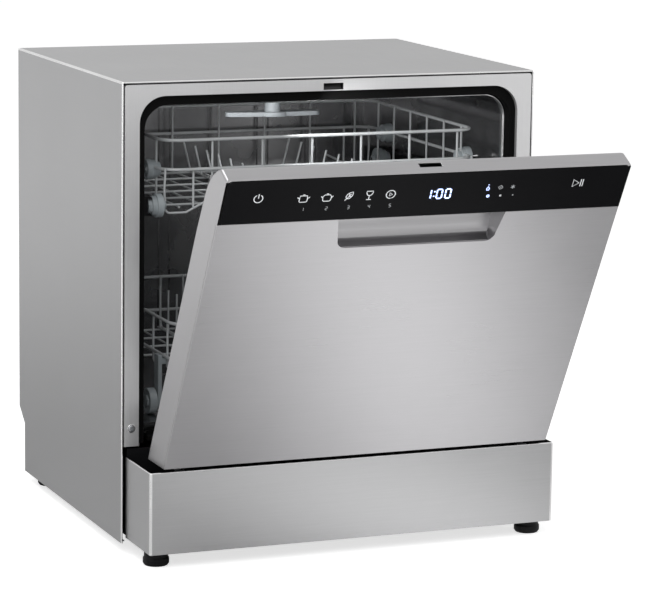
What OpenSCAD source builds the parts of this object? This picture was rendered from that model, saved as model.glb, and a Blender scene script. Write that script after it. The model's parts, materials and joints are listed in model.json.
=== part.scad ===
// Countertop dishwasher with a drop-down door, two pull-out racks and three spray arms.
// X runs to the right, Y to the back and Z up. The feet stand on Z = 0.

/* [Cabinet] */
// Width of the cabinet
body_w = 560; // [540:5:580]
// Height from the worktop to the top
body_h = 595; // [593:1:610]
// Depth of the cabinet from front frame to back edge
body_d = 445; // [440:5:460]
// Sheet thickness of the wrap and plinth
sheet = 1; // [0.8:0.1:1.2]
// Thickness of the folded hem round the front of the wrap
hem = 2.25; // [2:0.25:3]
// Gap above the worktop under the side panels
side_clear = 13; // [12:0.5:15]
// Depth of the notch at the lower back of each side
notch_d = 25; // [20:1:28]
// Height of the notch at the lower back of each side
notch_h = 80; // [70:1:90]

/* [Front frame] */
// Width of the front opening
open_w = 514; // [508:1:516]
// Height of the top of the opening
open_top = 576.5; // [575.5:0.5:578]
// Corner radius of the opening
open_r = 34; // [28:1:38]
// Lower end of the two stiles
stile_end = 137; // [134:0.5:139]

/* [Plinth and feet] */
// How far the plinth stands in front of the frame
plinth_out = 95; // [94:0.5:100]
// Height of the top edge of the plinth
plinth_top = 124; // [122:0.5:125]
// Height of the lower edge of the plinth
plinth_low = 20; // [19:0.5:22]
// Step between cabinet side and plinth side
plinth_inset = 5.5; // [4.5:0.25:6.5]
// Radius of a foot
foot_r = 16.5; // [14:0.5:18]

/* [Door] */
// Width of the door
door_w = 518; // [512:1:522]
// Height of the door along its front face
door_h = 439.5; // [438:0.5:440]
// Thickness of the visible door edge
door_t = 53; // [50:0.5:55]
// Depth of the flat top edge of the door
top_flat = 23; // [21:0.2:25]
// Radius of the rounded back below the top edge
back_r = 77; // [70:1:84]
// Gap between plinth and closed door
door_gap = 11.8; // [11.6:0.2:13]
// Angle at which the door stands open at rest
door_rest = 28.8; // [28:0.2:30]
// Height of the black control strip
console_h = 64; // [60:0.5:68]
// Width of the grip recess
grip_w = 216; // [190:1:230]
// Height of the grip recess
grip_h = 43; // [38:0.5:46]
// Depth of the grip recess
grip_d = 27; // [22:0.5:30]
// Corner radius of the control strip
glass_r = 6.5; // [5:0.5:8]

/* [Wash tub] */
// Inner width of the tub
tub_w = 492; // [488:1:494]
// Height of the tub ceiling
tub_top = 562; // [560:0.5:563]
// Height of the tub floor beside the sump
tub_floor = 151; // [149:0.5:152]
// Depth of the tub lip behind the front frame
lip_y = 23; // [22:0.5:25]
// Inner face of the tub back wall
tub_back = 400; // [396:1:402]
// Corner radius of the tub
tub_r = 28; // [24:1:32]

/* [Racks] */
// Width of the upper rack
upper_w = 428; // [420:1:432]
// Height of the rim of the upper rack
upper_rim = 516; // [512:0.5:517]
// Height of the floor of the upper rack
upper_low = 427; // [424:0.5:430]
// Width of the lower rack
lower_w = 400; // [390:1:406]
// Height of the rim of the lower rack
lower_rim = 282; // [276:0.5:288]
// Height of the floor of the lower rack
lower_low = 213; // [211:0.5:216]
// Radius of the rim wires
rim_r = 2.2; // [1.8:0.1:2.4]
// Radius of the other wires
wire_r = 1.5; // [1.2:0.1:1.7]
// Radius of an upper rack roller
upper_roller_r = 9.6; // [9:0.1:10]
// Radius of the flange of an upper rack roller
upper_flange_r = 15; // [13:0.5:16]
// Radius of a lower rack roller
lower_roller_r = 16.5; // [15:0.5:17.5]
// Spacing of the lengthwise wires of the upper rack
upper_pitch = 67.5; // [64:0.5:68]

/* [Spray arms] */
// Length of the lower and middle spray arms
arm_len = 336; // [300:2:344]
// Length of the ceiling spray arm
top_arm_len = 130; // [116:2:150]

/* [Hidden] */
$fn = 48;

// Colours
steel = "#b9babc";
dark_steel = "#8f9194";
black = "#1b1c1e";
grey_wire = "#c9ccd0";
roller_grey = "#8e9aa3";
white = "#e8e9ea";
board_green = "#2d6a44";

// Clearances
seam = 1.6;
plinth_seam = 0.8;
seat = 0.3;
run = 0.06;

// Cabinet
frame_t = 1.2;
frame_r = 3.5;
frame_w = body_w - 2 * (hem + seam);
frame_top = body_h - hem - seam;
frame_return = 19;
hem_d = 9;
wrap_r = 2.5;
lap = 13;
panel_t = 1.2;
panel_y = body_d - sheet - panel_t;
panel_low = notch_h + 22;
swage = 7;
screw_r = 2;
screw_x = (frame_w + open_w) / 4;
screw_z = 160;
slot_w = 27;
slot_h = 8.5;
slot_z = open_top + frame_t;

// Plinth, tray and feet
tray_t = 2.2;
tray_w = body_w - 2 * (plinth_inset + sheet + 2);
tray_front = -plinth_out + sheet + 0.2;
tray_back = body_d - notch_d - 2;
tray_low = plinth_low + sheet;
tray_top = stile_end - 3;
lip_top = plinth_top - 12;
foot_x = body_w / 2 - 25;
foot_front = -plinth_out + 33;
foot_rear = body_d - 61;
foot_stud = 4;
foot_boss = 9;
boss_h = 26;

// Door, in its closed position
face_y = -plinth_out;
back_y = face_y + door_t;
door_low = plinth_top + door_gap;
door_top = door_low + door_h;
hinge_y = face_y + 8;
hinge_z = plinth_top - 5.4;
casing_t = 2;
casing_rim = 1.2;
skin_t = 1.2;
console_low = door_top - console_h;
back_a = acos(1 - (door_t - top_flat) / back_r);
back_drop = back_r * sin(back_a);
pan_d = 3;
pan_gap = 0.9;
glass_t = 2.6;
grip_taper = 10;
grip_r = 12;
eye_r = 5.5;
pin_r = 3;
arm_x = door_w / 2 - 26;
arm_t = 4;
ear_t = 3;
plug_y = 6;
plug_w0 = door_w - 12;
plug_w1 = door_w - 48;
plug_low0 = door_low + 8;
plug_low1 = door_low + 20;
plug_top0 = door_top - back_drop - 2;
plug_top1 = plug_top0 - 4;
disp_x = -35;
disp_z = 350;
disp_w = 160;
disp_h = 96;
disp_d = 34;
lid_x0 = disp_x - disp_w / 2 + 14;
lid_x1 = disp_x + 12;
lid_z0 = disp_z - 32;
lid_z1 = disp_z + 32;
lid_axis = [lid_x0 - 1.5, plug_y + 0.8];
lid_pin_r = 1;
cap_x = disp_x + 48;

// Tub
tub_t = 1;
flange_w = open_w / 2 - 1 - tub_w / 2;
ledge_z = tub_floor + 10.7;
ledge_w = 42;
rail_h = 24;
rail_w = 15;
roller_z = upper_low + 8;
rail_low = roller_z - upper_roller_r - seat - 2;
rail_front = lip_y + 3.5;
bead_x = [for (i = [-3:3]) 72 * i - 10];
bead_w = 7;
bead_t = 3;

// Racks
upper_front = 34;
upper_back = 384;
upper_mid = upper_rim - 37;
lower_front = 28;
lower_back = 378;
lower_mid = lower_rim - 46;
rack_r = 26;
upper_along = [for (i = [-2:3]) upper_pitch * i - 13];
lower_along = [for (i = [-5:5]) i * (lower_w / 2 - rack_r - 9.5) / 5];
bend_r = 9;
peg_r = 1.3;
weld = 0.4;
upper_wheels = [upper_front + 2, upper_back - 16];
lower_wheels = [lower_front + 42, lower_back - 40];
upper_disc_x = upper_w / 2 + 6.5;
lower_disc_x = tub_w / 2 - 28;
axle_r = 2.5;
step_r = 12.3;
axle_end = upper_disc_x + 15.5;

// Spray arms and sump
sump_y = (lip_y + tub_back) / 2;
sump_r = 62;
lower_arm_z = 186;
middle_arm_z = 404;
top_arm_z = 520.8;
hub_r = 15;
post_r = 8;
cup_r = 26;
cup_y = sump_y - 98;
salt_r = 27;
salt_x = -128;
salt_y = 110;
heater_r = 4;
riser_low = 100;

// Connections at the back
valve_x = 175;
drain_x = 105;
cord_x = -190;
valve_z = 58;
thread_r = 13.2;
spigot_r = 10;

// The middle of the footprint with the door ajar lies on the origin
door_reach = -(hinge_y + (face_y - hinge_y) * cos(door_rest)
             - (door_top - hinge_z) * sin(door_rest));
front_y = (door_reach - body_d) / 2;

// ---- Helpers ----

// Places a piece that is drawn from the front frame's plane
module at_front() translate([0, front_y, 0]) children();

// Turns a door piece from closed to where it stands ajar
module ajar()
    at_front()
    translate([0, hinge_y, hinge_z])
    rotate([door_rest, 0, 0])
    translate([0, -hinge_y, -hinge_z])
    children();

// An X-Z outline from y0 to y1
module slab(y0, y1)
    translate([0, y1, 0]) rotate([90, 0, 0]) linear_extrude(y1 - y0) children();

// A Y-Z outline from x0 to x1
module across(x0, x1)
    translate([x0, 0, 0]) rotate([90, 0, 90]) linear_extrude(x1 - x0) children();

// An X-Y outline from z0 to z1
module rise(z0, z1) translate([0, 0, z0]) linear_extrude(z1 - z0) children();

// Rectangle from corner to corner
module pane(x0, z0, x1, z1) translate([x0, z0]) square([x1 - x0, z1 - z0]);

// Rectangle with rounded upper corners
module arch(w, z0, z1, r) {
    pane(-w / 2, z0, w / 2, z1 - r);
    pane(-w / 2 + r, z0, w / 2 - r, z1);
    for (s = [-1, 1]) translate([s * (w / 2 - r), z1 - r]) circle(r);
}

// Rectangle with four rounded corners
module plate(x0, z0, x1, z1, r) {
    pane(x0, z0 + r, x1, z1 - r);
    pane(x0 + r, z0, x1 - r, z1);
    for (x = [x0 + r, x1 - r]) for (z = [z0 + r, z1 - r]) translate([x, z]) circle(r);
}

// Box from corner to corner
module block(a, b) translate(a) cube(b - a);

// Round bar between two points
module bar(p, q, r) {
    d = q - p;
    translate(p)
        rotate([0, acos(d[2] / norm(d)), atan2(d[1], d[0])])
        cylinder(h = norm(d), r = r, $fn = 32);
}

// Cylinder along X, Y or Z from a point
module rod_x(p, h, r) translate(p) rotate([0, 90, 0]) cylinder(h = h, r = r);
module rod_y(p, h, r) translate(p) rotate([-90, 0, 0]) cylinder(h = h, r = r);
module rod_z(p, h, r) translate(p) cylinder(h = h, r = r);

// Closed rounded loop of wire in a level plane
module loop(w, y0, y1, z, bend, r) {
    x = w / 2;
    bar([-x + bend, y0, z], [x - bend, y0, z], r);
    bar([-x + bend, y1, z], [x - bend, y1, z], r);
    for (s = [-1, 1]) bar([s * x, y0 + bend, z], [s * x, y1 - bend, z], r);
    for (c = [[x - bend, y1 - bend, 0], [-x + bend, y1 - bend, 90],
              [-x + bend, y0 + bend, 180], [x - bend, y0 + bend, 270]])
        translate([c[0], c[1], z]) rotate([0, 0, c[2]])
            rotate_extrude(angle = 90) translate([bend, 0]) circle(r, $fn = 32);
}

// ---- Cabinet ----

module side_notch()
    across(-body_w, body_w)
    polygon([[body_d + 9, -9], [body_d - notch_d, -9], [body_d - notch_d, notch_h],
             [body_d + 1, panel_low - 2], [body_d + 9, panel_low - 2]]);

module cabinet_wrap() at_front() color(steel) difference() {
    union() {
        slab(0, body_d) difference() {
            arch(body_w, side_clear, body_h, wrap_r);
            arch(body_w - 2 * sheet, side_clear - 1, body_h - sheet, wrap_r - sheet);
        }
        slab(0, hem_d) difference() {
            arch(body_w, side_clear, body_h, wrap_r);
            arch(body_w - 2 * hem, side_clear - 1, body_h - hem, 1.2);
        }
        slab(body_d - sheet, body_d) difference() {
            arch(body_w, side_clear, body_h, wrap_r);
            arch(body_w - 2 * lap, side_clear - 1, body_h - lap, 2);
        }
        for (s = [-1, 1]) translate([s * (body_w / 2 - 4 - sheet / 2), 0, 0])
            block([-3.5, hem_d + 1, side_clear], [3.5, body_d - 1, side_clear + sheet]);
    }
    side_notch();
    for (s = [-1, 1]) for (z = [180, 360, 540])
        rod_y([s * (body_w / 2 - 7), body_d - 5, z], 10, screw_r + 0.2);
    for (x = [-150, 150]) rod_y([x, body_d - 5, body_h - 7], 10, screw_r + 0.2);
}

module front_frame() at_front() color(steel) difference() {
    union() {
        slab(0, frame_t) difference() {
            arch(frame_w, stile_end, frame_top, frame_r);
            arch(open_w, stile_end - 1, open_top, open_r);
        }
        slab(0, frame_return) difference() {
            arch(open_w + 2 * frame_t, stile_end, open_top + frame_t, open_r + frame_t);
            arch(open_w, stile_end - 1, open_top, open_r);
        }
        slab(0, hem_d + 3) difference() {
            arch(frame_w, stile_end, frame_top, frame_r);
            arch(frame_w - 2 * frame_t, stile_end - 1, frame_top - frame_t, frame_r - frame_t);
        }
    }
    slab(-1, frame_t + 1) pane(-slot_w / 2, slot_z, slot_w / 2, slot_z + slot_h);
    for (s = [-1, 1]) rod_y([s * screw_x, -1, screw_z], 4, screw_r + 0.2);
}

module back_pocket(grow) plate(-225 - grow, panel_low + 30 - grow, 225 + grow, body_h - 60 + grow, 14 + grow);

module rear_panel() at_front() color(dark_steel) difference() {
    slab(panel_y - swage + panel_t, panel_y + panel_t)
        plate(-body_w / 2 + sheet + 1, panel_low, body_w / 2 - sheet - 1, body_h - sheet - 1, 3);
    slab(panel_y - swage + 2 * panel_t, panel_y + 9) back_pocket(0);
    slab(panel_y - swage, panel_y) difference() {
        plate(-body_w, 0, body_w, body_h + 50, 1);
        back_pocket(panel_t);
    }
    for (i = [0:9]) for (s = [-1, 1])
        slab(panel_y - 20, panel_y + 20)
        translate([s * 130, panel_low + 50 + 9 * i]) square([70, 3.5], center = true);
    for (s = [-1, 1]) for (z = [180, 360, 540])
        rod_y([s * (body_w / 2 - 7), body_d - 9, z], 10, screw_r + 0.2);
    for (x = [-150, 150]) rod_y([x, body_d - 9, body_h - 7], 10, screw_r + 0.2);
}

module screw_head(r) {
    difference() {
        cylinder(h = 1.6, r1 = r, r2 = r * 0.8);
        translate([0, 0, 1]) for (a = [0, 90]) rotate(a) cube([r * 1.1, 0.8, 2], center = true);
    }
    translate([0, 0, -6]) cylinder(h = 6, r = screw_r);
}

module case_screws() at_front() color(steel) {
    for (s = [-1, 1]) translate([s * screw_x, 0, screw_z]) rotate([90, 0, 0]) screw_head(4.2);
    for (s = [-1, 1]) for (z = [180, 360, 540])
        translate([s * (body_w / 2 - 7), body_d, z]) rotate([-90, 0, 0]) screw_head(4);
    for (x = [-150, 150]) translate([x, body_d, body_h - 7]) rotate([-90, 0, 0]) screw_head(4);
}

module plinth_outline(grow, end) {
    x = body_w / 2 - plinth_inset - grow;
    r = 3 - min(grow, 2);
    pane(-x, face_y + grow + r, x, end);
    pane(-x + r, face_y + grow, x - r, end);
    for (s = [-1, 1]) translate([s * (x - r), face_y + grow + r]) circle(r);
}

module plinth() at_front() color(steel) union() {
    rise(plinth_low, plinth_top) difference() {
        plinth_outline(0, -plinth_seam);
        plinth_outline(sheet, 1);
    }
    rise(plinth_top - 5, plinth_top) difference() {
        plinth_outline(0, -plinth_seam);
        plinth_outline(sheet + 0.6, 1);
    }
    rise(plinth_low, plinth_low + sheet) intersection() {
        plinth_outline(0, -plinth_seam);
        pane(-body_w, face_y, body_w, face_y + 14);
    }
}

module tray_outline(grow)
    pane(-tray_w / 2 + grow, tray_front + grow, tray_w / 2 - grow, tray_back - grow);

module base_tray() at_front() color(black) difference() {
    union() {
        difference() {
            union() {
                rise(tray_low, tray_top) intersection() {
                    tray_outline(0);
                    pane(-body_w, 2, body_w, body_d);
                }
                rise(tray_low, lip_top) tray_outline(0);
            }
            rise(tray_low + tray_t, body_h) difference() {
                tray_outline(1.4);
                pane(-tray_w, 2, tray_w, 3.4);
            }
        }
        for (x = [-foot_x, foot_x]) for (y = [foot_front, foot_rear])
            rod_z([x, y, tray_low], boss_h, foot_boss);
        for (x = [-60, 0, 60]) block([x - 1.2, 3, tray_low + 1], [x + 1.2, 100, tray_low + 16]);
    }
    for (x = [-foot_x, foot_x]) for (y = [foot_front, foot_rear])
        rod_z([x, y, tray_low - 1], boss_h + 2, foot_stud + 0.3);
    rod_y([valve_x, tray_back - 9, valve_z], 20, 14.2);
    rod_y([drain_x, tray_back - 9, valve_z], 20, 11.2);
    rod_y([cord_x, tray_back - 9, valve_z], 20, 8.2);
    for (x = [-120:12:120]) block([x - 2, 250, tray_low - 1], [x + 2, 330, tray_low + 9]);
}

module foot(x, y) at_front() color(black) translate([x, y, 0]) {
    rotate_extrude() polygon([[0, 0], [foot_r - 2, 0], [foot_r, 3], [foot_r, 9], [foot_r - 1.5, 11],
                              [foot_r - 1.5, plinth_low - 3], [10, plinth_low - 2],
                              [10, tray_low], [0, tray_low]]);
    rod_z([0, 0, tray_low], boss_h + 4, foot_stud);
}

module foot_front_left() foot(-foot_x, foot_front);
module foot_front_right() foot(foot_x, foot_front);
module foot_rear_left() foot(-foot_x, foot_rear);
module foot_rear_right() foot(foot_x, foot_rear);

// ---- Tub ----

module tub_outline(grow, low) {
    r = tub_r + grow;
    w = tub_w + 2 * grow;
    arch(w, tub_floor + low, tub_top + grow, r);
}

module tub_section(grow) difference() {
    tub_outline(grow, -grow);
    for (s = [-1, 1])
        translate([s * (tub_w / 2 - ledge_w / 2 + 10 + grow), (tub_floor + ledge_z) / 2 - grow - 10])
        square([ledge_w + 20, ledge_z - tub_floor + 20], center = true);
}

module tub() at_front() color(dark_steel) difference() {
    union() {
        difference() {
            slab(lip_y, tub_back + tub_t) tub_section(tub_t);
            slab(lip_y - 1, tub_back) tub_section(0);
        }
        slab(lip_y, lip_y + tub_t) difference() {
            arch(tub_w + 2 * flange_w, tub_floor - 4, tub_top + flange_w, tub_r + flange_w);
            tub_section(0);
        }
        slab(lip_y - 2, lip_y + 3) difference() {
            arch(tub_w + 7, tub_floor - 1, tub_top + 3.5, tub_r + 3.5);
            tub_section(0);
        }
        for (x = bead_x) for (s = [-1, 1])
            slab(tub_back - bead_t, tub_back + 0.5)
            pane(x + s * 8 - bead_w / 2, 200, x + s * 8 + bead_w / 2, tub_top - 30);
        for (y = [90:70:370]) for (s = [-1, 1])
            block([s * tub_w / 2 - 2, y, 250], [s * tub_w / 2 + 2, y + 5, rail_low - 30]);
        for (y = [60:60:360])
            block([-190, y, tub_top - 2], [-hub_r - 40, y + 5, tub_top + 0.5]);
        for (y = [60:60:360])
            block([hub_r + 40, y, tub_top - 2], [190, y + 5, tub_top + 0.5]);
    }
    rod_z([0, sump_y, tub_floor - 9], 18, sump_r - 4);
    rod_z([0, cup_y, tub_floor - 9], 18, cup_r + 3);
    rod_z([salt_x, salt_y, tub_floor - 9], 18, salt_r + 1.5);
    rod_z([0, sump_y, tub_top - 9], 18, post_r + 0.3);
    rod_y([0, tub_back - 9, middle_arm_z + 3], 18, 9.3);
    rod_z([190, 90, tub_floor - 9], 18, 12.3);
}

module tub_gasket() at_front() color(black) difference() {
    slab(6, lip_y - 2 - seat) arch(open_w - 0.6, stile_end + 2, open_top - 0.3, open_r - 0.3);
    slab(5, lip_y + 9) arch(tub_w + 5, 0, tub_top + 2.5, tub_r + 2.5);
    slab(9, lip_y - 6) difference() {
        arch(open_w - 4.6, 0, open_top - 2.3, open_r - 2.3);
        arch(tub_w + 9, -1, tub_top + 4.5, tub_r + 4.5);
    }
}

module lower_seal() at_front() color(black)
    across(-tub_w / 2 + 4, tub_w / 2 - 4)
    polygon([[8, 141], [lip_y - 2, 141], [lip_y - 2, 147], [16, 149], [12, 154], [10.5, 154],
             [11, 148], [8, 146]]);

module door_lock() at_front() color(black) difference() {
    block([-24, frame_t + 0.1, slot_z + 0.15], [24, 20, frame_top - frame_t - 0.2]);
    block([-slot_w / 2 + 1, 0, slot_z + 0.4], [slot_w / 2 - 1, 16, slot_z + slot_h - 0.4]);
}

module latch_tongue() at_front() color(dark_steel)
    across(-slot_w / 2 + 2, slot_w / 2 - 2)
    polygon([[1, slot_z + 1], [11, slot_z + 1], [11, slot_z + 7.5], [6, slot_z + 7.5]]);

module upper_rail(s) at_front() color(black) {
    x1 = s * (tub_w / 2 - seat);
    x0 = s * (tub_w / 2 - rail_w);
    a = min(x0, x1);
    b = max(x0, x1);
    difference() {
        across(a, b) plate(rail_front, rail_low, tub_back - 6, rail_low + rail_h, 3);
        across(s > 0 ? a - 1 : a + 2, s > 0 ? b - 2 : b + 1)
            plate(rail_front - 9, rail_low + 2, tub_back - 9, rail_low + rail_h - 2, 2);
    }
    across(s > 0 ? axle_end + 0.6 : -tub_w / 2 + seat + 1, s > 0 ? tub_w / 2 - seat - 1 : -axle_end - 0.6)
        pane(rail_front + 1, rail_low + 1, rail_front + 28, rail_low + rail_h - 1);
}
module upper_rail_left() upper_rail(-1);
module upper_rail_right() upper_rail(1);

// ---- Water system ----

module riser_duct() at_front() color(white) difference() {
    union() {
        block([-14, tub_back + 3.5, riser_low], [14, tub_back + 15, tub_top + 24]);
        block([-12, sump_y - 12, tub_top + 8], [12, tub_back + 15, tub_top + 24]);
        rod_z([0, sump_y, top_arm_z + 15], tub_top + 10 - top_arm_z - 15, post_r);
        rod_z([0, sump_y, tub_top + tub_t + 0.2], 9, 18);
        rod_y([0, tub_back - 14, middle_arm_z + 3], 20, 9);
    }
    rod_z([0, sump_y, top_arm_z + 14], tub_top - top_arm_z + 1, post_r - 2.5);
    rod_y([0, tub_back - 15, middle_arm_z + 3], 22, 6.5);
}

module sump() at_front() color(white) difference() {
    union() {
        rod_z([0, sump_y, 60], tub_floor - 61.3, sump_r);
        rod_z([0, sump_y, tub_floor - 3.3], 2, sump_r + 10);
        rod_z([0, cup_y, 80], tub_floor - 81.3, cup_r + 4);
        rod_z([0, cup_y, tub_floor - 3.3], 2, cup_r + 9);
        block([-20, cup_y, 80], [20, sump_y, 120]);
        rod_z([0, sump_y, 62], lower_arm_z - 63, post_r);
    }
    difference() {
        rod_z([0, sump_y, 64], 200, sump_r - 6);
        rod_z([0, sump_y, 62], 210, post_r);
    }
    rod_z([0, cup_y, 84], 100, cup_r);
    block([-14, cup_y, 86], [14, sump_y - 20, 112]);
    rod_z([0, sump_y, 120], 100, post_r - 3);
    for (a = [0, 300]) translate([0, sump_y, 0]) rotate(a) rod_z([sump_r - 16, 0, 50], 20, heater_r + 0.25);
}

module filter_plate() at_front() color(steel) difference() {
    union() {
        rod_z([0, sump_y, tub_floor + seat], 1.4, sump_r + 18);
        rod_z([0, cup_y, tub_floor + seat], 1.4, cup_r + 14);
        translate([0, 0, tub_floor + seat]) linear_extrude(1.4)
            polygon([[-60, cup_y + 10], [60, cup_y + 10], [70, sump_y - 20], [-70, sump_y - 20]]);
    }
    rod_z([0, sump_y, 100], 100, post_r + 3);
    rod_z([0, cup_y, 100], 100, cup_r + 2.3);
    for (a = [0:15:345]) for (r = [34, 50])
        rod_z([r * cos(a), sump_y + r * sin(a), 100], 100, 2);
}

module filter_cup() at_front() color(roller_grey) translate([0, cup_y, 0]) {
    difference() {
        rod_z([0, 0, 90], tub_floor - 82, cup_r - 2);
        rod_z([0, 0, 93], 100, cup_r - 5);
        for (a = [0:45:315]) rotate(a) block([cup_r - 9, -4, 100], [cup_r, 4, 141]);
    }
    rod_z([0, 0, tub_floor + 2], 3, cup_r + 5);
    difference() {
        rod_z([0, 0, tub_floor + 4.9], 16, 12);
        for (s = [-1, 1]) block([s * 9 - 4.5, -13, tub_floor + 9], [s * 9 + 4.5, 13, tub_floor + 30]);
    }
}

module heater() at_front() color(dark_steel) {
    translate([0, sump_y, 78]) rotate_extrude(angle = 300) translate([sump_r - 16, 0]) circle(heater_r);
    for (a = [0, 300]) translate([0, sump_y, 0]) rotate(a)
        rod_z([sump_r - 16, 0, 52], 26, heater_r - 0.05);
}

module wash_pump() at_front() color(dark_steel) {
    rod_y([0, sump_y + sump_r + 16, 80], 30, 34);
    rod_y([0, sump_y + sump_r + 45, 80], 62, 29);
    rod_y([0, sump_y + sump_r + 0.4, 80], 18, 14);
    rod_z([0, sump_y + sump_r + 30, 100], 21, 7.5);
    rod_y([0, sump_y + sump_r + 22, 121], tub_back + 3.3 - sump_y - sump_r - 22, 8);
    for (x = [-24, 24])
        block([x - 5, sump_y + sump_r + 50, tray_low + tray_t], [x + 5, sump_y + sump_r + 90, 66]);
}

module drain_pump() at_front() color(white) {
    rod_x([sump_r + 14, sump_y, 76], 20, 24);
    rod_x([sump_r + 33, sump_y, 76], 34, 18);
    rod_x([sump_r + 0.4, sump_y, 76], 16, 9);
    block([sump_r + 20, sump_y - 9, tray_low + tray_t], [sump_r + 60, sump_y + 9, 62]);
}

module inlet_valve() at_front() color(white) difference() {
    union() {
        rod_y([valve_x, tray_back - 4, valve_z], 22, thread_r);
        rod_y([valve_x, tray_back - 16, valve_z], 14.3, 17);
        block([valve_x - 16, tray_back - 52, valve_z - 16], [valve_x + 16, tray_back - 15, valve_z + 16]);
        rod_z([valve_x, tray_back - 36, valve_z + 15], 34, 14);
        block([valve_x - 10, tray_back - 46, tray_low + tray_t], [valve_x + 10, tray_back - 22, valve_z - 15]);
    }
    rod_y([valve_x, tray_back - 10, valve_z], 40, thread_r - 3);
}

module drain_outlet() at_front() color(black) difference() {
    union() {
        rod_y([drain_x, tray_back - 30, valve_z], 50, spigot_r);
        rod_y([drain_x, tray_back - 8, valve_z], 6.3, 15);
        rod_z([drain_x, tray_back - 18, tray_low + tray_t], valve_z - spigot_r + 1.5 - tray_low - tray_t, 6);
    }
    rod_y([drain_x, tray_back - 24, valve_z], 60, spigot_r - 2.5);
}

module cord_gland() at_front() color(black) difference() {
    union() {
        rod_y([cord_x, tray_back - 10, valve_z], 22, 8);
        rod_y([cord_x, tray_back + seat, valve_z], 4, 12);
        rod_y([cord_x, tray_back - 10, valve_z], 8.3, 12);
    }
    rod_y([cord_x, tray_back - 12, valve_z], 40, 4);
}

module air_break() at_front() color(white) difference() {
    block([-body_w / 2 + sheet + seat, 120, 190], [-tub_w / 2 - tub_t - 3.2, 300, 440]);
    for (y = [136, 190, 244]) block([-body_w / 2 - 9, y, 204], [-tub_w / 2 - tub_t - 6, y + 44, 425]);
}

module softener() at_front() color(white) difference() {
    union() {
        block([-200, 60, tray_low + tray_t], [-85, 165, tub_floor - 14]);
        rod_z([salt_x, salt_y, tub_floor - 15], 13.6, salt_r + 4);
    }
    rod_z([salt_x, salt_y, tray_low + 20], 200, salt_r - 4);
}

module salt_cap() at_front() color(white) translate([salt_x, salt_y, 0]) {
    rod_z([0, 0, tub_floor - 18], 21, salt_r - 4 - run);
    rod_z([0, 0, tub_floor + 2], 7, salt_r);
    block([-20, -3, tub_floor + 8], [20, 3, tub_floor + 16]);
}

module float_switch() at_front() color(white) {
    rod_z([190, 90, 100], tub_floor - 95, 12);
    rod_z([190, 90, tub_floor + 4.5], 6, 13);
    block([178, 78, tray_low + tray_t], [202, 102, 101]);
}

// ---- Hinges ----

module hinge_bracket(s) at_front() color(dark_steel) {
    for (x = [s * arm_x - arm_t / 2 - ear_t - 0.4, s * arm_x + arm_t / 2 + 0.4]) across(x, x + ear_t) {
        translate([hinge_y, hinge_z]) circle(eye_r);
        polygon([[hinge_y - eye_r + 1, tray_low + tray_t], [hinge_y + 44, tray_low + tray_t],
                 [hinge_y + 30, 60], [hinge_y + eye_r - 0.5, hinge_z - 8],
                 [hinge_y + eye_r - 0.5, hinge_z], [hinge_y - eye_r + 0.5, hinge_z]]);
    }
    block([s * arm_x - arm_t / 2 - 1, hinge_y - eye_r + 1, tray_low + tray_t],
          [s * arm_x + arm_t / 2 + 1, hinge_y + 44, tray_low + tray_t + 3]);
    rod_x([s * arm_x - arm_t / 2 - ear_t, hinge_y, hinge_z], arm_t + 2 * ear_t, pin_r);
}
module hinge_bracket_left() hinge_bracket(-1);
module hinge_bracket_right() hinge_bracket(1);

module hinge_arm(s) ajar() color(dark_steel) difference() {
    across(s * arm_x - arm_t / 2, s * arm_x + arm_t / 2) {
        translate([hinge_y, hinge_z]) circle(eye_r);
        pane(hinge_y, hinge_z - 4.5, back_y - 9, hinge_z + 4.5);
        pane(back_y - 18, hinge_z - 4.5, back_y - casing_t - skin_t - seat, hinge_z + 60);
    }
    rod_x([s * arm_x - 20, hinge_y, hinge_z], 40, pin_r + run);
}
module hinge_arm_left() hinge_arm(-1);
module hinge_arm_right() hinge_arm(1);

// ---- Door ----

function chamfer_z(y, in) = door_low - (y - face_y) * tan(door_rest) + in / cos(door_rest);

// Angle at which the rounded back, drawn in by a wall, meets the top
function round_a(in) = asin((back_drop - in) / (back_r - in));

// Side outline of the door, drawn in by a wall
function door_side(in) = concat(
    [[face_y + in, chamfer_z(face_y + in, in)], [face_y + in, door_top - in]],
    [for (i = [8:-1:0]) [back_y - back_r + (back_r - in) * cos(round_a(in) * i / 8),
                         door_top - back_drop + (back_r - in) * sin(round_a(in) * i / 8)]],
    [[back_y - in, chamfer_z(back_y - in, in)]]);

// Front outline of the door below the control strip
module panel_front() pane(-door_w / 2, door_low, door_w / 2, console_low - 0.2);

module plug_front(grow) polygon([
    [-plug_w0 / 2 - grow, plug_low0 - grow], [plug_w0 / 2 + grow, plug_low0 - grow],
    [plug_w0 / 2 + grow, plug_top0 + grow], [-plug_w0 / 2 - grow, plug_top0 + grow]]);

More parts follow.
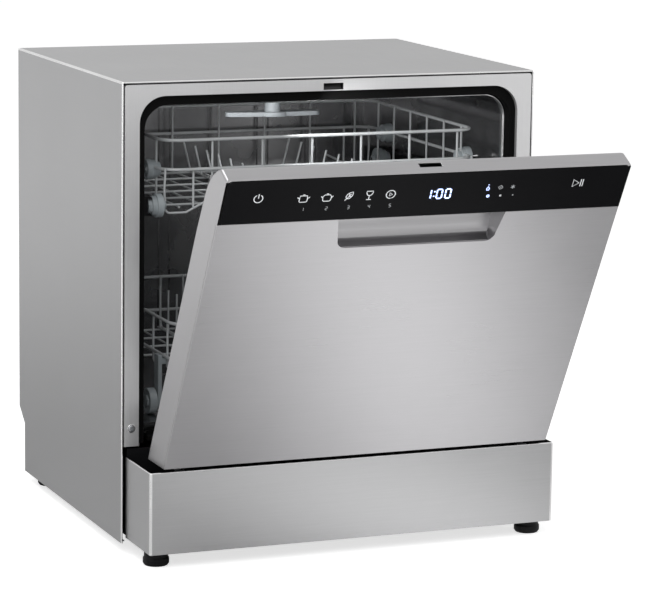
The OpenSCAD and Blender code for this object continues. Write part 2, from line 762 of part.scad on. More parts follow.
module door_casing() ajar() color(steel) difference() {
    across(-door_w / 2, door_w / 2) polygon(door_side(0));
    across(-door_w / 2 + casing_t, door_w / 2 - casing_t) polygon(door_side(casing_t));
    slab(face_y - 5, face_y + casing_t + 1) {
        arch(door_w - 2 * casing_rim, console_low - 0.2, door_top - casing_rim, glass_r + seat);
        pane(-door_w / 2 + casing_t + 0.4, door_low + casing_t + 0.4,
             door_w / 2 - casing_t - 0.4, console_low + 1);
    }
    slab(face_y - 6, face_y + skin_t + seat)
        pane(-door_w, door_low - 60, door_w, console_low - 0.2);
    slab(face_y - 7, face_y + pan_d + pan_gap) difference() {
        pane(-door_w, door_low - 60, door_w, console_low - 0.2);
        pane(-door_w / 2 + skin_t + seat, door_low + skin_t + seat,
             door_w / 2 - skin_t - seat, console_low + 9);
    }
    slab(back_y - 9, back_y + 9) plug_front(0.4);
    for (s = [-1, 1])
        block([s * arm_x - arm_t / 2 - 1, hinge_y - 9, hinge_z - 20],
              [s * arm_x + arm_t / 2 + 1, back_y - casing_t - skin_t, hinge_z + 12]);
    block([-slot_w / 2 - 1, face_y + 10, door_top - 9], [slot_w / 2 + 1, face_y + 18, door_top + 9]);
}

// Front outline of the grip recess
module grip_outline(grow) {
    x = grip_w / 2 + grow;
    low = console_low - grip_h - grow;
    r = grip_r + grow;
    tilt = atan(grip_taper / grip_h);
    cx = x - grip_taper - r * tan((90 - tilt) / 2) + 2;
    polygon(concat(
        [[-x, console_low + 0.2], [-x + grip_taper * 0.55, low + r]],
        [for (a = [180:15:270]) [-cx + r * cos(a), low + r + r * sin(a)]],
        [for (a = [270:15:360]) [cx + r * cos(a), low + r + r * sin(a)]],
        [[x - grip_taper * 0.55, low + r], [x, console_low + 0.2]]));
}

// Side outline of the hollow scoop behind the grip recess
module scoop(in) polygon(concat(
    [[face_y - 3, console_low - in], [face_y - 3, console_low - grip_h + in]],
    [for (a = [90:-10:0]) [face_y + skin_t + (grip_d - in) * pow(cos(a), 0.6),
                          console_low - in - (grip_h - 2 * in) * sin(a)]]));

module door_panel() ajar() color(steel) difference() {
    slab(face_y, face_y + pan_d) panel_front();
    slab(face_y + skin_t, face_y + pan_d + 1)
        pane(-door_w / 2 + skin_t, door_low + skin_t, door_w / 2 - skin_t, console_low + 9);
    slab(face_y - 1, face_y + skin_t + 1) grip_outline(0);
}

module handle_cup() ajar() color(steel) difference() {
    intersection() {
        slab(face_y + skin_t, face_y + 60) grip_outline(1.2);
        across(-grip_w, grip_w) scoop(-1.2);
        block([-grip_w, face_y, console_low - 90], [grip_w, 0, console_low - 0.4]);
    }
    intersection() {
        slab(face_y - 9, face_y + 60) grip_outline(0);
        across(-grip_w, grip_w) scoop(1);
    }
}

module control_glass() ajar() color(black) slab(face_y - 0.4, face_y + glass_t - 0.4)
    arch(door_w - 2 * (casing_rim + seat), console_low + seat, door_top - casing_rim - seat, glass_r);

module control_board() ajar() color(board_green) {
    slab(face_y + 8, face_y + 9.6) pane(-225, console_low + 14, 225, console_low + 52);
    for (x = [-200, -80, 90, 210]) rod_y([x, face_y + glass_t - 0.3, console_low + 22], 5.8, 2.5);
}

module display_module() ajar() color(black)
    slab(face_y + glass_t - 0.2, face_y + 7.8) pane(-2, console_low + 20, 38, console_low + 44);

module plug_body(in) intersection() {
    across(-door_w, door_w)
        polygon([[back_y - 8, plug_low0 + in], [back_y, plug_low0 + in], [plug_y - in, plug_low1 + in],
                 [plug_y - in, plug_top1 - in], [back_y, plug_top0 - in], [back_y - 8, plug_top0 - in]]);
    rise(door_low - 50, door_top + 50)
        polygon([[-plug_w0 / 2 + in, back_y - 8], [-plug_w0 / 2 + in, back_y], [-plug_w1 / 2 + in, plug_y - in],
                 [plug_w1 / 2 - in, plug_y - in], [plug_w0 / 2 - in, back_y], [plug_w0 / 2 - in, back_y - 8]]);
}

module door_liner() ajar() color(steel) difference() {
    union() {
        difference() {
            plug_body(0);
            plug_body(skin_t);
            slab(back_y - 20, back_y - casing_t - skin_t) plug_front(9);
        }
        slab(back_y - casing_t - skin_t, back_y - casing_t) difference() {
            pane(-door_w / 2 + casing_t + seat, plug_low0 - 14, door_w / 2 - casing_t - seat, plug_top0 + 1.4);
            plug_front(-0.6);
        }
        slab(plug_y - skin_t - 2.5, plug_y - 0.4) difference() {
            plate(-200, plug_low1 + 30, 200, plug_top1 - 26, 18);
            plate(-198.5, plug_low1 + 31.5, 198.5, plug_top1 - 27.5, 16.5);
        }
    }
    slab(plug_y - 9, plug_y + 9)
        pane(disp_x - disp_w / 2 + 3, disp_z - disp_h / 2 + 3, disp_x + disp_w / 2 - 3, disp_z + disp_h / 2 - 3);
}

module dispenser_body() ajar() color(white) {
    dispenser_shell();
    rod_z([lid_axis[0], lid_axis[1], lid_z0 + 4], lid_z1 - lid_z0 - 8, lid_pin_r);
}

module dispenser_shell() difference() {
    union() {
        slab(plug_y - disp_d, plug_y - skin_t - seat)
            plate(disp_x - disp_w / 2 + 4, disp_z - disp_h / 2 + 4,
                  disp_x + disp_w / 2 - 4, disp_z + disp_h / 2 - 4, 6);
        slab(plug_y + seat, plug_y + 1.8)
            plate(disp_x - disp_w / 2, disp_z - disp_h / 2, disp_x + disp_w / 2, disp_z + disp_h / 2, 9);
        slab(plug_y - 9, plug_y + 1)
            plate(disp_x - disp_w / 2 + 4, disp_z - disp_h / 2 + 4,
                  disp_x + disp_w / 2 - 4, disp_z + disp_h / 2 - 4, 6);
    }
    slab(plug_y - disp_d + 4, plug_y + 9)
        plate(lid_x0 + 4, lid_z0 + 4, lid_x1 - 4, lid_z1 - 4, 7);
    slab(plug_y - 1.2, plug_y + 9) plate(lid_x0 - 0.6, lid_z0 - 0.6, lid_x1 + 0.6, lid_z1 + 0.6, 7);
    rod_y([cap_x, plug_y - disp_d + 8, disp_z], 60, 14 + run);
    for (z = [lid_z0 + 8, lid_z1 - 22])
        block([lid_x0 - 4.5, plug_y - 2.2, z - 0.6], [lid_x0 + 1, plug_y + 9, z + 14.6]);
}

module dispenser_lid() ajar() color(roller_grey) difference() {
    union() {
        slab(plug_y - 0.8, plug_y + 2.4) plate(lid_x0, lid_z0, lid_x1, lid_z1, 6.4);
        slab(plug_y + 2.2, plug_y + 4.6) plate(lid_x1 - 26, disp_z - 8, lid_x1 - 8, disp_z + 8, 3);
        for (z = [lid_z0 + 8, lid_z1 - 22]) rod_z([lid_axis[0], lid_axis[1], z], 14, 2);
    }
    rod_z([lid_axis[0], lid_axis[1], lid_z0], lid_z1 - lid_z0, lid_pin_r + run);
}

module rinse_cap() ajar() color(roller_grey) {
    rod_y([cap_x, plug_y - 14, disp_z], 17, 14);
    rod_y([cap_x, plug_y + 2.2, disp_z], 2, 17);
    slab(plug_y + 4, plug_y + 7) plate(cap_x - 12, disp_z - 2.5, cap_x + 12, disp_z + 2.5, 2);
}

// ---- Upper rack ----

// Wire that runs level from -h to h along Y, bends up at both ends and stops at a height
module hoop(h, low, high) {
    bar([0, -h + bend_r, low], [0, h - bend_r, low], wire_r);
    for (s = [-1, 1]) {
        bar([0, s * h, low + bend_r], [0, s * h, high], wire_r);
        translate([0, s * (h - bend_r), low + bend_r])
            rotate([0, 90, 0]) rotate([0, 0, s > 0 ? 0 : -90])
            rotate_extrude(angle = 90) translate([bend_r, 0]) circle(wire_r, $fn = 32);
    }
}

// Basket of crossing wires with two rounded hoops round it
module basket(w, y0, y1, low, mid, rim, along, across_wires) {
    step = rim_r + wire_r - weld;
    xi = w / 2 - step;
    yi = (y1 - y0) / 2 - step;
    mx = (y0 + y1) / 2;
    for (z = [mid, rim]) loop(w, y0, y1, z, rack_r, rim_r);
    for (x = along) translate([x, mx, 0]) hoop(yi, low, rim + 1);
    for (i = [0:across_wires - 1])
        translate([0, mx + (yi - rack_r - 8) * (2 * i / (across_wires - 1) - 1), 0])
        rotate(90) hoop(xi, low + 2 * wire_r - weld, rim + 1);
}

// Row of pegs on a wire that rests on the cross wires
module peg_row(x, y0, y1, z, count, high, lean) {
    bar([x, y0, z], [x, y1, z], wire_r);
    for (i = [0:count - 1]) {
        y = y0 + 8 + i * (y1 - y0 - 16) / (count - 1);
        bar([x, y, z], [x + lean, y, z + high], peg_r);
    }
}

module upper_rack() at_front() color(grey_wire) {
    basket(upper_w, upper_front, upper_back, upper_low, upper_mid, upper_rim, upper_along, 6);
    for (x = upper_along)
        bar([x - upper_pitch / 2, upper_front + 32, upper_low], [x - upper_pitch / 2, upper_back - 32, upper_low], wire_r);
    for (s = [-1, 1])
        peg_row(s * 67, upper_front + 32, upper_back - 32, upper_low + 4 * wire_r - 2 * weld, 7, 40, s * 10);
    for (s = [-1, 1]) for (y = upper_wheels) {
        block([s * (upper_disc_x - 7) - 2.2, y - 9, roller_z - 9],
              [s * (upper_disc_x - 7) + 2.2, y + 9, upper_mid + 6]);
        rod_x([s > 0 ? upper_disc_x - 8 : -axle_end, y, roller_z], axle_end - upper_disc_x + 8, axle_r);
    }
}

module upper_roller(s, y) at_front() color(roller_grey) difference() {
    union() {
        rod_x([s > 0 ? upper_disc_x - 4 : -upper_disc_x - 4, y, roller_z], 8, upper_flange_r);
        rod_x([s > 0 ? upper_disc_x + 3.9 : -upper_disc_x - 10, y, roller_z], 6.1, step_r);
        rod_x([s > 0 ? upper_disc_x + 9.9 : -upper_disc_x - 15, y, roller_z], 5.1, upper_roller_r);
    }
    rod_x([s * upper_disc_x - 40, y, roller_z], 80, axle_r + run);
    rod_x([s > 0 ? upper_disc_x - 5 : -upper_disc_x + 3, y, roller_z], 2, upper_flange_r - 4);
}
module upper_roller_front_left() upper_roller(-1, upper_wheels[0]);
module upper_roller_front_right() upper_roller(1, upper_wheels[0]);
module upper_roller_rear_left() upper_roller(-1, upper_wheels[1]);
module upper_roller_rear_right() upper_roller(1, upper_wheels[1]);

module middle_arm_feed() at_front() color(white) difference() {
    union() {
        rod_y([0, sump_y - 9, middle_arm_z + 3], tub_back - 15 - sump_y + 9, 7);
        rod_z([0, sump_y, middle_arm_z - 14], 26, post_r);
        rod_z([0, sump_y, middle_arm_z - 16], 2.2, post_r + 4);
        for (y = [sump_y + 30, tub_back - 50]) 
            block([upper_along[2] - 3, y, middle_arm_z + 8], [6, y + 8, upper_low - wire_r - 0.05]);
    }
    rod_y([0, sump_y, middle_arm_z + 3], 300, 5);
}

// ---- Lower rack ----

module lower_rack() at_front() color(grey_wire) {
    basket(lower_w, lower_front, lower_back, lower_low, lower_mid, lower_rim, lower_along, 6);
    for (x = [-112, -38, 38, 112])
        peg_row(x, lower_front + 32, lower_back - 32, lower_low + 4 * wire_r - 2 * weld, 9, 58, 0);
}

// Clips under the middle wire that carry the roller axles
module lower_brackets() at_front() color(roller_grey)
    for (s = [-1, 1]) for (y = lower_wheels) {
        x = s * (lower_disc_x - 10.5);
        block([x - 2.5, y - 8, lower_wheel_z() - 7], [x + 2.5, y + 8, lower_mid + 2]);
        block([s > 0 ? lower_w / 2 - 1 : x - 2, y - 8, lower_mid - 9],
              [s > 0 ? x + 2 : -lower_w / 2 + 1, y + 8, lower_mid - rim_r - 0.05]);
        rod_x([s > 0 ? lower_disc_x - 12 : -lower_disc_x - 6, y, lower_wheel_z()], 18, axle_r);
    }

function lower_wheel_z() = ledge_z + lower_roller_r + seat;

module lower_roller(s, y) at_front() color(roller_grey) difference() {
    union() {
        rod_x([s * lower_disc_x - 5, y, lower_wheel_z()], 10, lower_roller_r);
        rod_x([s * lower_disc_x - 6, y, lower_wheel_z()], 12, 7);
    }
    rod_x([s * lower_disc_x - 40, y, lower_wheel_z()], 80, axle_r + run);
    for (t = [-6, 4]) translate([s * lower_disc_x + t, y, lower_wheel_z()]) rotate([0, 90, 0])
        difference() { cylinder(h = 2, r = lower_roller_r - 3); translate([0, 0, -1]) cylinder(h = 4, r = 7); }
}
module lower_roller_front_left() lower_roller(-1, lower_wheels[0]);
module lower_roller_front_right() lower_roller(1, lower_wheels[0]);
module lower_roller_rear_left() lower_roller(-1, lower_wheels[1]);
module lower_roller_rear_right() lower_roller(1, lower_wheels[1]);

// ---- Spray arms ----

module arm_outline(len, w0, w1) {
    circle(hub_r + 5);
    polygon([[-len / 2 + w1, -w1], [0, -w0], [len / 2 - w1, -w1], [len / 2 - w1, w1], [0, w0], [-len / 2 + w1, w1]]);
    for (s = [-1, 1]) translate([s * (len / 2 - w1), 0]) circle(w1);
}

// Pairs of slots on top of an arm
module jets(len, z) for (s = [-1, 1]) for (r = [0.35:0.13:0.9])
    rise(z - 2, z + 2) translate([s * r * len / 2, s * 4]) square([9, 2.4], center = true);

module lower_spray_arm() at_front() translate([0, sump_y, 0]) color(roller_grey)
    rotate(24) difference() {
        union() {
            rise(lower_arm_z, lower_arm_z + 9) arm_outline(arm_len, 17, 11);
            rod_z([0, 0, lower_arm_z - 5], 23, hub_r);
        }
        rod_z([0, 0, lower_arm_z - 20], 33, post_r + 0.1);
        jets(arm_len, lower_arm_z + 9);
    }

module middle_spray_arm() at_front() translate([0, sump_y, 0]) color(roller_grey)
    rotate(70) difference() {
        union() {
            rise(middle_arm_z - 13, middle_arm_z - 5.2) arm_outline(arm_len - 20, 16, 10);
            rod_z([0, 0, middle_arm_z - 13.5], 8.8, hub_r);
        }
        rod_z([0, 0, middle_arm_z - 30], 60, post_r + 0.1);
        jets(arm_len - 20, middle_arm_z - 5.2);
    }

module ceiling_spray_arm() at_front() translate([0, sump_y, 0]) color(roller_grey)
    rotate(-4) difference() {
        union() {
            rise(top_arm_z, top_arm_z + 6) arm_outline(top_arm_len, 14, 9);
            rod_z([0, 0, top_arm_z], 30, post_r + 2.5);
        }
        rod_z([0, 0, top_arm_z + 14.8], 60, post_r + 0.1);
    }

cabinet_wrap();
front_frame();
rear_panel();
base_tray();
plinth();
case_screws();
foot_front_left();
foot_front_right();
foot_rear_left();
foot_rear_right();
tub();
tub_gasket();
lower_seal();
door_lock();
upper_rail_left();
upper_rail_right();
riser_duct();
sump();
filter_plate();
heater();
wash_pump();
drain_pump();
inlet_valve();
air_break();
softener();
float_switch();
drain_outlet();
cord_gland();
hinge_bracket_left();
hinge_bracket_right();
door_casing();
door_panel();
control_glass();
handle_cup();
door_liner();
control_board();
display_module();
dispenser_body();
hinge_arm_left();
hinge_arm_right();
dispenser_lid();
rinse_cap();
latch_tongue();
upper_rack();
middle_arm_feed();
middle_spray_arm();
upper_roller_front_left();
upper_roller_front_right();
upper_roller_rear_left();
upper_roller_rear_right();
lower_rack();
lower_brackets();
lower_roller_front_left();
lower_roller_front_right();
lower_roller_rear_left();
lower_roller_rear_right();
lower_spray_arm();
ceiling_spray_arm();
filter_cup();
salt_cap();
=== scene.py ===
import json
import math

import bmesh
import bpy
from mathutils import Matrix, Vector


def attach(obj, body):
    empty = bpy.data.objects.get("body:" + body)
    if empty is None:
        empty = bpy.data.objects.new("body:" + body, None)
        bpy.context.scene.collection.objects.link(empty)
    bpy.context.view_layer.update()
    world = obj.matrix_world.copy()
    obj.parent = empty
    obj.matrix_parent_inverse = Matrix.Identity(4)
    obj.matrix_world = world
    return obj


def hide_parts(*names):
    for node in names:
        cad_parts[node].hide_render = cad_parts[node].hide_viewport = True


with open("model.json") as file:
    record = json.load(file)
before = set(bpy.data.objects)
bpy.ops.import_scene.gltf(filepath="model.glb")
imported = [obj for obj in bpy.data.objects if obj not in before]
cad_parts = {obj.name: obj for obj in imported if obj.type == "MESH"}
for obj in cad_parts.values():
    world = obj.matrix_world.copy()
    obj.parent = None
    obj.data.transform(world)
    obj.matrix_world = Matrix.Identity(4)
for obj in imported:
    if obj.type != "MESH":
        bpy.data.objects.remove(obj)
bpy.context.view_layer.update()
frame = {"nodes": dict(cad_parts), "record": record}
mm = 0.001

# millimetres, measured from the front frame's plane and the worktop
body = dict(width=560, height=595, depth=445, frontPlane=-65.486)
door = dict(face=-95, ajar=28.8, pivot=(-87, 118.6))


def atFront(x, y, z):
    return Vector((x * mm, (y + body["frontPlane"]) * mm, z * mm))


def turnedDoor(y, z, degrees):
    a = math.radians(degrees)
    py, pz = door["pivot"]
    ry, rz = y - py, z - pz
    return py + ry * math.cos(a) - rz * math.sin(a), pz + ry * math.sin(a) + rz * math.cos(a)


def shutPoint(v):
    # the same point with the door shut, in millimetres
    y, z = turnedDoor(v[1] / mm - body["frontPlane"], v[2] / mm, -door["ajar"])
    return v[0] / mm, y, z


def ajar(x, y, z):
    # a point of the closed door, turned to where the door stands
    return atFront(x, *turnedDoor(y, z, door["ajar"]))


def startMaterial(name):
    mat = bpy.data.materials.new(name)
    mat.use_nodes = True
    tree = mat.node_tree
    tree.nodes.clear()
    out = tree.nodes.new("ShaderNodeOutputMaterial")
    shader = tree.nodes.new("ShaderNodeBsdfPrincipled")
    tree.links.new(shader.outputs[0], out.inputs[0])
    return mat, tree, shader


def addNode(tree, kind, **values):
    node = tree.nodes.new(kind)
    for key, value in values.items():
        if key in node.inputs:
            node.inputs[key].default_value = value
        else:
            setattr(node, key, value)
    return node


def grainNoise(tree, scale, stretch=(1, 1, 1), detail=3.0):
    coords = tree.nodes.new("ShaderNodeTexCoord")
    mapping = tree.nodes.new("ShaderNodeMapping")
    mapping.inputs["Scale"].default_value = stretch
    noise = addNode(tree, "ShaderNodeTexNoise", Scale=scale, Detail=detail, Roughness=0.6)
    tree.links.new(coords.outputs["Object"], mapping.inputs["Vector"])
    tree.links.new(mapping.outputs[0], noise.inputs["Vector"])
    return noise


def spread(tree, source, low, high):
    # stretches the middle of a noise from low to high
    node = addNode(tree, "ShaderNodeMapRange")
    node.inputs["To Min"].default_value = low
    node.inputs["To Max"].default_value = high
    node.inputs["From Min"].default_value = 0.3
    node.inputs["From Max"].default_value = 0.7
    tree.links.new(source, node.inputs["Value"])
    return node.outputs[0]


def tinted(tree, factor, dark, light):
    mix = tree.nodes.new("ShaderNodeMix")
    mix.data_type = "RGBA"
    mix.inputs["A"].default_value = (*dark, 1)
    mix.inputs["B"].default_value = (*light, 1)
    tree.links.new(factor, mix.inputs["Factor"])
    return mix.outputs["Result"]


def clouded(tree, shader, source, color, dark, light):
    # a colour that wavers between a darker and a lighter tone
    low = tuple(c * dark for c in color)
    high = tuple(min(1, c * light) for c in color)
    tone = tinted(tree, spread(tree, source, 0, 1), low, high)
    tree.links.new(tone, shader.inputs["Base Color"])


def bumped(tree, shader, source, strength, distance):
    bump = addNode(tree, "ShaderNodeBump", Strength=strength, Distance=distance)
    tree.links.new(source, bump.inputs["Height"])
    tree.links.new(bump.outputs[0], shader.inputs["Normal"])


def brushedSteel(name, color, grain, rough, metal=1):
    # fine lines along one axis over wide soft clouds
    mat, tree, shader = startMaterial(name)
    stretch = {"x": (1, 60, 60), "y": (60, 1, 60), "z": (60, 60, 1)}[grain]
    lines = grainNoise(tree, 14, stretch, 2)
    clouds = grainNoise(tree, 7, (1, 1, 1), 4)
    both = addNode(tree, "ShaderNodeMath", operation="ADD")
    half = addNode(tree, "ShaderNodeMath", operation="MULTIPLY")
    half.inputs[1].default_value = 0.5
    tree.links.new(lines.outputs[0], both.inputs[0])
    tree.links.new(clouds.outputs[0], both.inputs[1])
    tree.links.new(both.outputs[0], half.inputs[0])
    clouded(tree, shader, half.outputs[0], color, 0.95, 1.05)
    tree.links.new(spread(tree, half.outputs[0], *rough), shader.inputs["Roughness"])
    shader.inputs["Metallic"].default_value = metal
    bumped(tree, shader, lines.outputs[0], 0.05, 0.0002)
    return mat


def drawnSteel(name, color, rough):
    # pressed sheet with a soft shine and no brushing
    mat, tree, shader = startMaterial(name)
    clouds = grainNoise(tree, 9, (1, 1, 1), 3)
    fine = grainNoise(tree, 420, (1, 1, 1), 2)
    clouded(tree, shader, clouds.outputs[0], color, 0.94, 1.05)
    tree.links.new(spread(tree, clouds.outputs[0], *rough), shader.inputs["Roughness"])
    shader.inputs["Metallic"].default_value = 1
    bumped(tree, shader, fine.outputs[0], 0.03, 0.0001)
    return mat


def moulded(name, color, rough, grain=900, bump=0.05, coat=0, shine=0.5):
    mat, tree, shader = startMaterial(name)
    noise = grainNoise(tree, grain, (1, 1, 1), 2)
    soft = grainNoise(tree, 18, (1, 1, 1), 3)
    clouded(tree, shader, soft.outputs[0], color, 0.9, 1.08)
    sheen = spread(tree, soft.outputs[0], rough * 0.85, rough * 1.15)
    tree.links.new(sheen, shader.inputs["Roughness"])
    shader.inputs["Coat Weight"].default_value = coat
    shader.inputs["Specular IOR Level"].default_value = shine
    bumped(tree, shader, noise.outputs[0], bump, 0.0003)
    return mat


def glowing(name, color, strength):
    mat, tree, shader = startMaterial(name)
    noise = grainNoise(tree, 300, (1, 1, 1), 1)
    tree.links.new(tinted(tree, noise.outputs[0], tuple(c * 0.92 for c in color), color),
                   shader.inputs["Emission Color"])
    shader.inputs["Base Color"].default_value = (*color, 1)
    shader.inputs["Emission Strength"].default_value = strength
    shader.inputs["Roughness"].default_value = 0.4
    return mat


finishes = dict(
    wrapSteel=brushedSteel("wrapSteel", (0.385, 0.385, 0.39), "y", (0.3, 0.42)),
    doorSteel=brushedSteel("doorSteel", (0.455, 0.45, 0.46), "x", (0.26, 0.38)),
    plinthSteel=brushedSteel("plinthSteel", (0.45, 0.45, 0.455), "x", (0.28, 0.4)),
    # the frame's steel is lighter and partly matt, painted light that makes up for the dark door
    # mirrored in the stiles
    frameSteel=brushedSteel("frameSteel", (0.72, 0.72, 0.725), "z", (0.36, 0.5), metal=0.72),
    # the tub's steel is darker than the outside steels, painted shade inside the tub
    tubSteel=drawnSteel("tubSteel", (0.3, 0.3, 0.305), (0.2, 0.3)),
    rimSteel=drawnSteel("rimSteel", (0.78, 0.78, 0.78), (0.16, 0.24)),
    # a far lighter steel for rounded edges, as a painted highlight
    highlightSteel=drawnSteel("highlightSteel", (0.86, 0.86, 0.86), (0.22, 0.34)),
    darkSteel=drawnSteel("darkSteel", (0.06, 0.06, 0.062), (0.3, 0.45)),
    zincSteel=drawnSteel("zincSteel", (0.42, 0.43, 0.45), (0.35, 0.5)),
    blackPlastic=moulded("blackPlastic", (0.007, 0.007, 0.008), 0.5, 1400, 0.1, shine=0.15),
    sealRubber=moulded("sealRubber", (0.004, 0.004, 0.004), 0.6, 1200, 0.08, shine=0.06),
    whitePlastic=moulded("whitePlastic", (0.62, 0.63, 0.64), 0.38),
    greyPlastic=moulded("greyPlastic", (0.4, 0.43, 0.45), 0.34),
    wheelPlastic=moulded("wheelPlastic", (0.4, 0.44, 0.46), 0.25),
    coatedWire=moulded("coatedWire", (0.56, 0.58, 0.59), 0.24, 600, 0.03, coat=0.3),
    controlGlass=moulded("controlGlass", (0.005, 0.005, 0.006), 0.1, 200, 0, shine=0.06),
    pumpCast=moulded("pumpCast", (0.25, 0.26, 0.27), 0.5, 500, 0.2),
    circuitBoard=moulded("circuitBoard", (0.03, 0.14, 0.06), 0.4),
    printWhite=glowing("printWhite", (0.8, 0.82, 0.84), 0.35),
    printGrey=glowing("printGrey", (0.5, 0.52, 0.54), 0.15),
    displayBlue=glowing("displayBlue", (0.5, 0.62, 1.0), 2.4),
    ledBlue=glowing("ledBlue", (0.5, 0.6, 1.0), 1.6),
)
# rounded edges of these finishes take the far lighter steel as a painted highlight
highlightEdges = dict(doorSteel="highlightSteel", frameSteel="highlightSteel")  # rounded edges that shine
print("materials", len(finishes))


def newPiece(name, verts, faces, finish, angle=35, marks=None):
    # marks number each face's slot: 0 for the finish, 1 for the lighter steel of a painted edge
    # highlight
    mesh = bpy.data.meshes.new(name)
    mesh.from_pydata([tuple(v) for v in verts], [], faces)
    if marks:
        mesh.polygons.foreach_set("material_index", marks)
    piece = bpy.data.objects.new(name, mesh)
    bpy.context.scene.collection.objects.link(piece)
    tidyMesh(mesh, angle)
    mesh.materials.append(finishes[finish])
    if marks:
        mesh.materials.append(finishes["highlightSteel"])
    return evenlyShaded(piece)


def evenlyShaded(piece):
    # keeps flat faces flat beside their rounded edges
    mod = piece.modifiers.new("evenNormals", "WEIGHTED_NORMAL")
    mod.keep_sharp = True
    mod.weight = 100
    return bakedPiece(piece)


def tidyMesh(mesh, angle=35):
    work = bmesh.new()
    work.from_mesh(mesh)
    bmesh.ops.remove_doubles(work, verts=work.verts, dist=1e-6)
    bmesh.ops.recalc_face_normals(work, faces=work.faces)
    work.to_mesh(mesh)
    work.free()
    mesh.shade_smooth()
    mesh.set_sharp_from_angle(angle=math.radians(angle))


def bakedPiece(piece):
    # swaps an object's modifiers for the mesh that they give
    graph = bpy.context.evaluated_depsgraph_get()
    mesh = bpy.data.meshes.new_from_object(piece.evaluated_get(graph))
    piece.modifiers.clear()
    old = piece.data
    piece.data = mesh
    if old.users == 0:
        bpy.data.meshes.remove(old)
    return piece


def boxPiece(name, low, high, finish):
    # a plain block between two corners in millimetres
    verts = [atFront(x, y, z) for x in (low[0], high[0]) for y in (low[1], high[1])
             for z in (low[2], high[2])]
    faces = [(0, 1, 3, 2), (4, 6, 7, 5), (0, 4, 5, 1), (2, 3, 7, 6), (0, 2, 6, 4), (1, 5, 7, 3)]
    return newPiece(name, verts, faces, finish)


def joined(name, pieces):
    # one mesh from several pieces, with each finish in one slot
    work = bmesh.new()
    slots = []
    for piece in pieces:
        start = len(work.faces)
        work.from_mesh(piece.data)
        work.faces.ensure_lookup_table()
        local = list(piece.data.materials)
        for face in work.faces[start:]:
            mat = local[min(face.material_index, len(local) - 1)]
            if mat not in slots:
                slots.append(mat)
            face.material_index = slots.index(mat)
    mesh = bpy.data.meshes.new(name)
    work.to_mesh(mesh)
    work.free()
    for mat in slots:
        mesh.materials.append(mat)
    for piece in pieces:
        bpy.data.objects.remove(piece)
    whole = bpy.data.objects.new(name, mesh)
    bpy.context.scene.collection.objects.link(whole)
    return whole


def roundEdges(work, edges, width, segments):
    return bmesh.ops.bevel(work, geom=edges, offset=width * mm, segments=segments, profile=0.5,
                           affect="EDGES", clamp_overlap=True)["faces"]


def sharpEdges(work, degrees):
    return [e for e in work.edges if e.is_manifold and e.calc_face_angle(0) > math.radians(degrees)]


def dressed(node, finish, width, rim=None, rimWidth=0):
    # a copy of a solid with softened edges, shown in its place
    mesh = frame["nodes"][node].data.copy()
    work = bmesh.new()
    work.from_mesh(mesh)
    bmesh.ops.remove_doubles(work, verts=work.verts, dist=2e-6)
    bmesh.ops.dissolve_limit(work, angle_limit=math.radians(0.6), verts=work.verts,
                             edges=work.edges)
    bmesh.ops.recalc_face_normals(work, faces=work.faces)
    if rim:
        wide = [e for e in sharpEdges(work, 30) if all(rim(*shutPoint(v.co)) for v in e.verts)]
        roundEdges(work, wide, rimWidth, 5)
    for face in work.faces:
        face.material_index = 0
    sharp = [e for e in sharpEdges(work, 35) if e.calc_length() > width * mm * 0.5]
    rounded = roundEdges(work, sharp, width, 2)
    # steel finishes listed above put a far lighter steel on their rounded faces, a painted
    # highlight
    highlightFinish = highlightEdges.get(finish)
    if highlightFinish:
        for face in rounded:
            face.material_index = 1
    # emptying the slots also empties the faces' slot numbers, so it comes first
    mesh.materials.clear()
    work.to_mesh(mesh)
    work.free()
    mesh.shade_smooth()
    mesh.set_sharp_from_angle(angle=math.radians(35))
    mesh.materials.append(finishes[finish])
    if highlightFinish:
        mesh.materials.append(finishes[highlightFinish])
    piece = bpy.data.objects.new(node + "Dressed", mesh)
    bpy.context.scene.collection.objects.link(piece)
    stands(evenlyShaded(piece), bodyOf[node], slotOf[node], node)


bodies = frame["record"]["behaviour"]["bodies"]
bodyOf = {node: name for name, nodes in bodies.items() for node in nodes}
slotOf = {row["node"]: row["material_slot"] for row in frame["record"]["subparts"]}


def stands(piece, bodyName, slotName, *nodes):
    # says which body a piece moves with and which solids it is shown for
    if nodes:
        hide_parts(*nodes)
    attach(piece, bodyName)


# focal length, middle and size of the picture in pixels
camera = dict(place=(-1476.3, -3587.1, 1005.6), yaw=21.802, pitch=10.218, roll=0.732,
              focal=3094.2, middle=(300.3, 301.5), frameSize=(650, 594))


def makeCamera(c):
    yaw, pitch, roll = (math.radians(c[k]) for k in ("yaw", "pitch", "roll"))
    level = math.cos(pitch)
    ahead = Vector((math.sin(yaw) * level, math.cos(yaw) * level, -math.sin(pitch)))
    right = Vector((math.cos(yaw), -math.sin(yaw), 0))
    up = right.cross(ahead)
    turnedRight = math.cos(roll) * right + math.sin(roll) * up
    turnedUp = -math.sin(roll) * right + math.cos(roll) * up
    data = bpy.data.cameras.new("camera")
    wide, high = c["frameSize"]
    data.sensor_width = 36
    data.lens = c["focal"] / wide * data.sensor_width
    data.shift_x = (wide / 2 - c["middle"][0]) / wide
    data.shift_y = (c["middle"][1] - high / 2) / wide
    data.clip_end = 100
    cam = bpy.data.objects.new("camera", data)
    turn = Matrix((turnedRight, turnedUp, -ahead)).transposed().to_4x4()
    cam.matrix_world = Matrix.Translation(atFront(*c["place"])) @ turn
    bpy.context.scene.collection.objects.link(cam)
    bpy.context.scene.camera = cam


